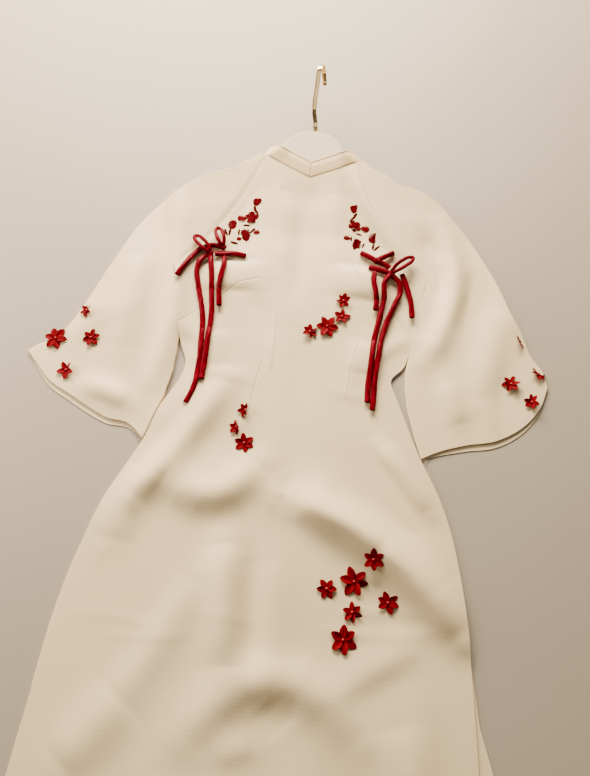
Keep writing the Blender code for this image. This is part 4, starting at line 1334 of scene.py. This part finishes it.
def flower(name, x, y, width, petals, turn):
    """Separate petals round a covered bead, on the cloth."""
    base = float(cloth_top([(x, y)])[0]) + FLOWER_LIFT
    folded = FOLDED.get(name, (0, 0, 0))
    walls = slab_faces(PETAL_LONG - 1, PETAL_WIDE - 1)
    like = PETAL_DRAWS
    points, faces, spread = [], [], []
    for petal in range(petals):
        angle = math.radians(turn) + 2 * math.pi * (petal + 0.5) / petals
        angle += draw.normal(0, like["turn"])
        sheet = petal_points(width * draw.uniform(*like["length"]), draw.uniform(*like["lift"]),
                             draw.normal(0, like["roll"]), draw.uniform(*like["cup"]),
                             draw.normal(0, like["twist"]))
        sheet[:, 2] += PETAL_STAGGER * (petal % 2)
        turned = np.column_stack([sheet[:, :2] @ np.array(facing(math.degrees(angle))),
                                  sheet[:, 2]])
        local = fold_up(turned, *folded) + [x, y, base]
        if folded[1] >= 0:
            local[:, 2] = np.maximum(local[:, 2], cloth_top(local) + PETAL_CLEAR)
        local[:, 2] = np.maximum(local[:, 2], PETAL_LOWEST)
        faces += [tuple(i + len(points) * 2 * len(local) for i in face) for face in walls]
        points.append(np.vstack([local, local - [0, 0, PETAL_CLOTH]]))
        spread += 2 * [np.column_stack([np.hypot(sheet[:, 0], sheet[:, 1]), sheet[:, 1]])]
    mesh = mesh_from("flower-" + name.replace("_", "-"), np.vstack(points), faces,
                     np.vstack(spread))
    return bead_on(finished(mesh.name, mesh, petal_red), x, y, base + HEART_LIFT)


def bead_on(piece, x, y, z):
    """Sews a covered bead on the flower's middle: its second material."""
    def pinched(px, py, pz):
        pinch = 0.06 * math.sin(HEART_PINCHES * math.atan2(py, px)) * (1 - pz * pz)
        out = HEART_RADIUS * (1 + pinch)
        return x + px * out, y + py * out, z + HEART_RADIUS * (HEART_HIGH[0] + HEART_HIGH[1] * pz)

    piece.data.materials.append(heart_red)
    shell = bmesh.new()
    shell.from_mesh(piece.data)
    round_bead = set(shaped_ball(shell, pinched))
    for face in shell.faces:
        if face.verts[0] in round_bead:
            face.material_index = 1
            face.smooth = True
    shell.to_mesh(piece.data)
    shell.free()
    return piece


for name, x, y, width, petals, turn in FLOWERS:
    made = flower(name, x, y, width, petals, turn)
    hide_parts("flower_" + name)
    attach(made, "root")

# %% [markdown]
# ## The embroidery
# Two sprays of blossom and leaves run down from the shoulders in red silk. They are worked in satin
# stitch: close parallel stitches across the shape. Each leaf or petal is therefore one short curve
# down its middle that knows its own half width, and Geometry Nodes lay a slightly arched stitch
# across it again and again. The spacing, the thread, the arch, the slant and the seed are inputs of
# the tree.

# %% Leaves and petals of the sprays
SPRAYS = [
    # kind, x, y, length, direction in degrees
    ("heart", -78, 306, 13.5, 88), ("leaf", -80, 291, 13.0, 112), ("leaf", -75, 282, 10.0, 104),
    ("blossom", -85, 275, 21.5, 20), ("bud", -102, 274, 13.2, 172), ("bud", -115, 259.5, 15.5, 96),
    ("thin", -92, 259, 12.0, 2), ("half", -92, 241, 22.0, 284), ("leaf", -80, 250, 11.0, 56),
    ("bud", -73, 246.5, 9.6, 15), ("pair", -122, 245, 14.5, 100), ("thin", -103, 245, 12.0, 92),
    ("bud", -102, 232.5, 7.5, 200), ("leaf", -109, 224, 13.0, 166),
    ("heart", 90, 308.5, 13.5, 94), ("leaf", 92, 295, 12.0, 62), ("leaf", 86.5, 286, 11.0, 66),
    ("blossom", 93, 275, 21.0, 50), ("bud", 111, 272, 13.0, 352), ("thin", 101, 260.5, 11.0, 172),
    ("bud", 81, 249.5, 10.5, 185), ("thin", 89, 249, 10.0, 95), ("half", 98, 240.5, 20.5, 256),
    ("thin", 110, 239, 10.5, 74), ("bud", 127.5, 255, 16.0, 84), ("pair", 130.5, 238.5, 14.0, 66),
]
MOTIF = {
    # kind: (turn from its direction, where it starts, its length, its fatness, sideways) as shares
    "leaf": [(0, -0.55, 1.1, 0.34, 0)],
    "thin": [(0, -0.5, 1.0, 0.30, 0)],
    "pair": [(16, -0.5, 1.0, 0.28, 0.24), (-16, -0.5, 1.0, 0.28, -0.24)],
    "bud": [(0, -0.56, 1.12, 0.92, 0)],
    "heart": [(22, -0.54, 1.08, 0.78, 0.12), (-22, -0.54, 1.08, 0.78, -0.12)],
    "blossom": [(72 * n, 0.02, 0.52, 1.06, 0) for n in range(5)],
    "half": [(30, -0.5, 0.94, 0.62, 0), (0, -0.5, 1.1, 0.54, 0), (-30, -0.5, 0.94, 0.62, 0)],
}
LEAFY = ("leaf", "thin", "pair")
SPINE_STEPS = 12


def spines(kinds):
    """Each leaf's or petal's middle line, on the cloth, with its half width at each point."""
    made = []
    for kind, x, y, length, direction in SPRAYS:
        if kind not in kinds:
            continue
        for turn, start, share, fat, sideways in MOTIF[kind]:
            along, across = facing(direction + turn)
            far = np.linspace(0, 1, SPINE_STEPS)
            bend = 0.05 * length * share * np.sin(math.pi * far) + sideways * length
            flat = (np.array([x, y]) + np.outer(length * (start + share * far), along)
                    + np.outer(bend, across))
            round_ends = np.sqrt(np.clip(1 - (2 * far - 1) ** 2, 0, 1)) + 0.10
            half = length * share * fat / 2 * round_ends
            made.append((np.column_stack([flat, cloth_top(flat)]), half))
    return made


def laid_spines(name, kinds):
    """An object of curves: the middle lines of these kinds, each with its half widths."""
    curves = bpy.data.curves.new(name, "CURVE")
    curves.dimensions = "3D"
    for line, half in spines(kinds):
        spline = curves.splines.new("POLY")
        spline.points.add(len(line) - 1)
        for point, spot, wide in zip(spline.points, place(line), half):
            point.co = (*spot, 1)
            point.radius = wide * MM
    return in_scene(name, curves)


print("leaves and petals:", len(spines(MOTIF)))

# %% A tree that lays satin stitches
STITCH_INPUTS = {"Spacing": 0.00036, "Thread": 0.00022, "Arch": 0.0016, "Slant": 0.12}
STITCH_LOOSE = 0.12


def stitch_tree():
    """Geometry Nodes: arched stitches side by side across each curve."""
    tree = bpy.data.node_groups.new("satin stitches", "GeometryNodeTree")
    face = tree.interface
    face.new_socket("Geometry", in_out="INPUT", socket_type="NodeSocketGeometry")
    for name in STITCH_INPUTS:
        face.new_socket(name, in_out="INPUT", socket_type="NodeSocketFloat")
    face.new_socket("Seed", in_out="INPUT", socket_type="NodeSocketInt")
    face.new_socket("Silk", in_out="INPUT", socket_type="NodeSocketMaterial")
    face.new_socket("Geometry", in_out="OUTPUT", socket_type="NodeSocketGeometry")
    made, links = tree.nodes, tree.links

    def node(kind, settings=None, inputs=None):
        one = made.new(kind)
        for key, value in (settings or {}).items():
            setattr(one, key, value)
        for key, value in (inputs or {}).items():
            if isinstance(value, bpy.types.NodeSocket):
                links.new(value, one.inputs[key])
            else:
                one.inputs[key].default_value = value
        return one

    given = node("NodeGroupInput").outputs
    kept = node("GeometryNodeCaptureAttribute")
    kept.capture_items.new("FLOAT", "half width")
    links.new(given["Geometry"], kept.inputs["Geometry"])
    links.new(node("GeometryNodeInputRadius").outputs[0], kept.inputs["half width"])
    spots = node("GeometryNodeCurveToPoints", {"mode": "LENGTH"},
                 {"Curve": kept.outputs["Geometry"], "Length": given["Spacing"]})
    middle = node("ShaderNodeCombineXYZ", None, {"Z": given["Arch"]})
    arc = node("GeometryNodeCurveQuadraticBezier", None,
               {"Resolution": 5, "Start": (-1, 0, 0), "Middle": middle.outputs[0],
                "End": (1, 0, 0)})
    thread = node("GeometryNodeCurvePrimitiveCircle", None,
                  {"Resolution": 5, "Radius": given["Thread"]})
    stitch = node("GeometryNodeCurveToMesh", None,
                  {"Curve": arc.outputs[0], "Profile Curve": thread.outputs[0],
                   "Fill Caps": True})
    size = node("ShaderNodeCombineXYZ", None,
                {"X": kept.outputs["half width"], "Y": 1.0, "Z": 1.0})
    turn = node("FunctionNodeAlignRotationToVector", {"axis": "Y"},
                {"Vector": spots.outputs["Tangent"]})
    loose = node("FunctionNodeRandomValue", {"data_type": "FLOAT"}, {"Seed": given["Seed"]})
    for operation, end in (("SUBTRACT", 2), ("ADD", 3)):
        slant = node("ShaderNodeMath", {"operation": operation},
                     {0: given["Slant"], 1: STITCH_LOOSE})
        links.new(slant.outputs[0], loose.inputs[end])
    slanted = node("FunctionNodeAxisAngleToRotation", None,
                   {"Axis": (0, 0, 1), "Angle": loose.outputs[1]})
    both = node("FunctionNodeRotateRotation", {"rotation_space": "LOCAL"},
                {"Rotation": turn.outputs[0], "Rotate By": slanted.outputs[0]})
    laid = node("GeometryNodeInstanceOnPoints", None,
                {"Points": spots.outputs["Points"], "Instance": stitch.outputs[0],
                 "Rotation": both.outputs[0], "Scale": size.outputs[0]})
    real = node("GeometryNodeRealizeInstances", None, {"Geometry": laid.outputs[0]})
    silk = node("GeometryNodeSetMaterial", None,
                {"Geometry": real.outputs[0], "Material": given["Silk"]})
    smooth = node("GeometryNodeSetShadeSmooth", None, {"Geometry": silk.outputs[0]})
    end = node("NodeGroupOutput")
    links.new(smooth.outputs[0], end.inputs[0])
    return tree


satin_stitches = stitch_tree()


def embroidered(name, kinds, silk, seed):
    """The stitches of these kinds as one mesh."""
    laid = laid_spines(name, kinds)
    stitches = laid.modifiers.new("satin stitches", "NODES")
    stitches.node_group = satin_stitches
    for socket in satin_stitches.interface.items_tree:
        given = {**STITCH_INPUTS, "Seed": seed, "Silk": silk}
        if socket.name in given:
            stitches[socket.identifier] = given[socket.name]
    mesh = baked(laid)
    bpy.data.objects.remove(laid)
    return in_scene(name, mesh)


blossoms = embroidered("embroidery-blossoms", [k for k in MOTIF if k not in LEAFY], thread_red, 7)
leaves = embroidered("embroidery-leaves", LEAFY, thread_deep, 19)
print("embroidery:", len(blossoms.data.polygons) + len(leaves.data.polygons), "faces")

# %% [markdown]
# ## The hanger
# The hanger is a flat board with a domed head, covered in pale card, and it lies tilted inside the
# neck with its head towards the collar. Its rim is slightly rounded. A bevelled flat curve gives
# that, because a curve's bevel follows the outline without any modelling of its corners.

# %% The board
BOARD_SMOOTH = 4
BOARD_ROUND = 1.1
BOARD_SHARP = 40.0


def smooth_outline(points, parts):
    """A closed outline with more points, rounded between the given ones."""
    points = np.asarray(points, float)
    made = []
    for i in range(len(points)):
        a, b, c, d = (points[(i + k) % len(points)] for k in (-1, 0, 1, 2))
        for t in np.linspace(0, 1, parts, endpoint=False):
            made.append(b + 0.5 * t * (c - a + t * (2 * a - 5 * b + 4 * c - d
                                                    + t * (3 * (b - c) + d - a))))
    return np.array(made)


board_curve = bpy.data.curves.new("board", "CURVE")
board_curve.dimensions = "2D"
board_curve.fill_mode = "BOTH"
board_curve.extrude = (BOARD_THICK / 2 - BOARD_ROUND) * MM
board_curve.bevel_depth = BOARD_ROUND * MM
board_curve.bevel_resolution = 3
outline = smooth_outline(BOARD, BOARD_SMOOTH)
round_it = np.vstack([outline[-1:], outline, outline[:1]])
inwards = outwards(round_it, BOARD_ROUND, 1)[1:-1] - outline
inwards *= np.sign(np.sum(inwards * (outline.mean(axis=0) - outline), axis=1))[:, None]
line = board_curve.splines.new("POLY")
line.points.add(len(outline) - 1)
for point, (x, y) in zip(line.points, outline + inwards):
    point.co = (x * MM, (y - BOARD_LOW_Y) * MM, 0, 1)
line.use_cyclic_u = True
board_holder = in_scene("board-curve", board_curve)
board_mesh = baked(board_holder)
bpy.data.objects.remove(board_holder)
low_edge = place([(0, BOARD_LOW_Y, CLOTH + LAYER_GAP)])[0]
board_mesh.transform(Matrix.Translation(low_edge) @ Matrix.Rotation(BOARD_TILT, 4, "X")
                     @ Matrix.Translation((0, 0, BOARD_THICK / 2 * MM)))
print("board outline:", len(outline), "points")

# %% The board's pale card and the hook's gold
CARD, CARD_TONES = (0.76, 0.62, 0.45), ((0.78, 0.645, 0.475), (0.72, 0.58, 0.41))
GOLD, GOLD_TONES = (0.95, 0.70, 0.32), ((1.0, 0.76, 0.38), (0.82, 0.56, 0.24))


def board_card():
    made, shader, here, _ = new_finish("pale board", CARD, 0.42, Specular_IOR_Level=0.45)
    fibre, cloud = here.noise(260.0, 4.0), here.noise(16.0, 2.0)
    tone = ((0.5 * fibre + 0.5 * cloud - 0.3) * 2.0).clamp()
    feed(shader, tone.mixed(*CARD_TONES), 0.34 + 0.2 * fibre, relief(fibre, 0.0002, 0.3))
    return made


def hook_gold():
    made, shader, here, _ = new_finish("polished gold", GOLD, 0.16, Metallic=1.0)
    brushed = here.vector("MULTIPLY", (1400.0, 60.0, 60.0)).noise(1.0, 2.0)
    tarnish = here.noise(70.0, 3.0)
    feed(shader, tarnish.mixed(*GOLD_TONES), 0.10 + 0.14 * tarnish,
         relief(brushed, 0.00008, 0.35))
    return made


board = finished("hanger-board", board_mesh, board_card(), BOARD_SHARP)
gold = hook_gold()
print("board:", len(board_mesh.polygons), "faces")

# %% [markdown]
# The hook is a flat metal strip, bent over at its end. It leaves the board's head, lies up along
# the tilt and turns over in a half circle. Its section is a rectangle with rounded edges.

# %% The hook
HOOK_NECK = [
    # x, y, z
    (9.5, 452.0, 30.2),
    (8.5, 462.0, 32.0),
    (6.8, 472.0, 37.5),
    (4.6, 479.0, 46.0),
    (4.2, 489.0, 51.5),
    (5.6, 517.0, 64.0),
    (6.4, 541.0, 74.9),
]
HOOK_WIDE = 8.0
HOOK_THICK = 2.0
HOOK_RADIUS = 20.0
HOOK_TIP = 5.0
HOOK_SIDEWAYS = 11.0
HOOK_STEPS = 40
HOOK_ROUND = 0.45
HOOK_END = 0.86


def hook_line():
    """The hook's middle line: its neck, then a half circle over and down to its tip."""
    neck = curve_through(HOOK_NECK, HOOK_STEPS)
    start = neck[-1]
    along = (start - neck[-2])[1:] / np.linalg.norm((start - neck[-2])[1:])
    up = np.array([-along[1], along[0]])
    centre = start[1:] - HOOK_RADIUS * up
    line = [tuple(p) for p in neck]
    for angle in np.linspace(0, math.pi, HOOK_STEPS + 1)[1:]:
        y, z = centre + HOOK_RADIUS * (math.cos(angle) * up + math.sin(angle) * along)
        line.append((start[0] + HOOK_SIDEWAYS * angle / math.pi, y, z))
    last = np.array(line[-1])
    line.append((last[0], *(last[1:] - HOOK_TIP * along)))
    return np.array(line)


def rounded_strip():
    """The strip's section, as (across, through) pairs with rounded corners."""
    wide, thick = HOOK_WIDE / 2 - HOOK_ROUND, HOOK_THICK / 2 - HOOK_ROUND
    made = []
    for sx, sy, start in ((1, 1, 0), (-1, 1, 90), (-1, -1, 180), (1, -1, 270)):
        for turn in (0, 30, 60, 90):
            angle = math.radians(start + turn)
            made.append((sx * wide + HOOK_ROUND * math.cos(angle),
                         sy * thick + HOOK_ROUND * math.sin(angle)))
    return np.array(made)


line = hook_line()
along = np.gradient(line[:, 1:], axis=0)
along /= np.linalg.norm(along, axis=1)[:, None]
section = rounded_strip()
hook_rings = []
for j, ((x, y, z), (dy, dz)) in enumerate(zip(line, along)):
    shrink = HOOK_END if j in (0, len(line) - 1) else 1.0
    a, b = (section * shrink).T
    hook_rings.append(np.column_stack([x + a, y - dz * b, z + dy * b]))
hook_points = np.concatenate(hook_rings)
hook_mesh = mesh_from("hanger-hook", hook_points, tube_faces(len(line), len(section)),
                      hook_points[:, :2])
hook = finished("hanger-hook", hook_mesh, gold)
print("hook length:", round(run_along(line)[-1]), "mm")

# %% [markdown]
# ## Loose threads
# At the inner corner of each cuff the seam ends in a few loose threads. They are too thin and too
# short to count as cords.

# %% Threads at the cuffs
THREADS_AT = {"left": (-205, -127, -70), "right": (219, -119, -100)}
THREAD = 0.35
THREAD_LENGTHS = (7, 15)
THREAD_FAN = 34  # degrees between two of them
THREAD_CURL = 4
THREAD_HIGH = (2.4, 0.8)  # where it leaves the seam, and at its end
THREAD_ARCH = 1.5
THREAD_AROUND = 6
THREAD_STEPS = 14


def threads(name, x, y, degrees):
    """Five curled threads from one point of the seam."""
    rings, faces, spread = [], [], []
    far = np.linspace(0, 1, THREAD_STEPS)
    turns = np.linspace(0, 2 * math.pi, THREAD_AROUND, endpoint=False)[:, None]
    for number in range(5):
        angle = math.radians(degrees + THREAD_FAN * (number - 2) + draw.normal(0, 8))
        length = draw.uniform(*THREAD_LENGTHS)
        curl = draw.normal(0, 0.5) * np.sin(far * math.pi * draw.uniform(0.7, 1.6))
        px = x + length * far * np.cos(angle) - THREAD_CURL * curl * np.sin(angle)
        py = y + length * far * np.sin(angle) + THREAD_CURL * curl * np.cos(angle)
        height = (THREAD_HIGH[0] - (THREAD_HIGH[0] - THREAD_HIGH[1]) * far
                  + THREAD_ARCH * np.sin(math.pi * far) * draw.uniform(0.2, 1))
        line = np.column_stack([px, py, height])
        faces += tube_faces(THREAD_STEPS, THREAD_AROUND, len(rings) * THREAD_AROUND)
        for spot, _, across, up in zip(line, *frames_along(line)):
            rings.append(spot + THREAD / 2 * (np.cos(turns) * across + np.sin(turns) * up))
        spread += [(0, length * share) for share in far for _ in range(THREAD_AROUND)]
    return finished(name, mesh_from(name, np.concatenate(rings), faces, spread), plain_crepe)


frayed = {side: threads("threads-" + side, *where) for side, where in THREADS_AT.items()}
print("threads:", list(frayed))

# %% [markdown]
# ## What each piece stands for
# Every piece rides on the one body and hides the plain solid that it stands for, where it has one.
# The table also names a slot for each piece's finish. The front's cut size is printed from its
# points.

# %% Pieces on the body
STANDS_FOR = [
    # piece, node, slot
    (front, "front_panel", "crepe"),
    (back, "back_panel", "crepe"),
    (sleeve_left, "sleeve_left", "crepe"),
    (sleeve_right, "sleeve_right", "crepe"),
    (collar_left, "collar_left", "crepe"),
    (collar_right, "collar_right", "crepe"),
    (board, "hanger", "board"),
    (hook, "hanger_hook", "hook"),
    (blossoms, None, "flower"),
    (leaves, None, "flower"),
    (frayed["left"], None, "crepe"),
    (frayed["right"], None, "crepe"),
]
for piece, node, finish in STANDS_FOR:
    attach(piece, "root")
    if node:
        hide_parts(node)


def cut_size(points):
    """Width and length in metres of the flat piece that these points lie in."""
    return tuple(float(span) for span in np.ptp(np.asarray(points, float)[:, :2], axis=0) * MM)


print("front cut:", [round(v, 3) for v in cut_size(front_points)])

# %% [markdown]
# ## Floor and light
# The tunic lies on a pale floor, in soft daylight that comes in low from beyond the collar. A large
# soft source there lets every fold show: its far side catches the light and its near side falls
# into soft shadow. A second window shines in from the left, so the folds that run lengthwise show
# too. A weak light overhead and a faint fill keep the shadows open.

# %% Floor
FLOOR_HALF = 6.0
FLOOR_LOW = -0.0004
FLOOR_CORNERS = ((-1, -1), (1, -1), (1, 1), (-1, 1))
FLOOR, FLOOR_TONES = (0.36, 0.305, 0.235), ((0.38, 0.325, 0.25), (0.34, 0.285, 0.215))

floor_mesh = bpy.data.meshes.new("floor")
floor_mesh.from_pydata([(x * FLOOR_HALF, y * FLOOR_HALF, FLOOR_LOW) for x, y in FLOOR_CORNERS],
                       [], [(0, 1, 2, 3)])
floor_finish, floor_shader, floor_here, _ = new_finish("pale floor", FLOOR, 0.6)
feed(floor_shader, floor_here.noise(3.0, 4.0).mixed(*FLOOR_TONES), None, None)
floor_mesh.materials.append(floor_finish)
in_scene("floor", floor_mesh)
print("floor", 2 * FLOOR_HALF, "m wide")

# %% Lights
LIGHTS = [
    # name, where it is, where it looks, its two sizes, power, colour
    ("window", (-0.35, 1.75, 0.88), (0, 0.05, 0), (1.6, 0.6), 182.0, (1.0, 0.87, 0.69)),
    ("side window", (-1.45, 0.35, 0.62), (0, -0.05, 0), (0.6, 1.0), 32.0, (1.0, 0.90, 0.74)),
    ("overhead", (0.0, 0.62, 2.0), (0, 0.60, 0), (0.8, 0.8), 2.5, (1.0, 0.93, 0.82)),
    ("fill", (1.5, -1.6, 2.6), (0, 0, 0), (2.6, 2.6), 4.0, (1.0, 0.94, 0.85)),
]
SKY = (1.0, 0.91, 0.78, 1)
SKY_STRENGTH = 0.12


def soft_light(name, at, towards, sizes, power, colour):
    """An area light that looks towards a point."""
    lamp = bpy.data.lights.new(name, "AREA")
    lamp.shape = "RECTANGLE"
    lamp.size, lamp.size_y = sizes
    lamp.energy = power
    lamp.color = colour
    look = np.array(towards, float) - np.array(at, float)
    across = np.cross(look, [0, 0, 1.0])
    across /= np.linalg.norm(across)
    behind = -look / np.linalg.norm(look)
    rows = np.column_stack([across, np.cross(behind, across), behind, at])
    in_scene(name, lamp).matrix_world = Matrix([*rows.tolist(), (0, 0, 0, 1)])


for light in LIGHTS:
    soft_light(*light)
sky = bpy.data.worlds.new("soft room")
bpy.context.scene.world = sky
sky.use_nodes = True
sky_light = sky.node_tree.nodes["Background"].inputs
sky_light["Color"].default_value = SKY
sky_light["Strength"].default_value = SKY_STRENGTH
print("lights:", [light[0] for light in LIGHTS])
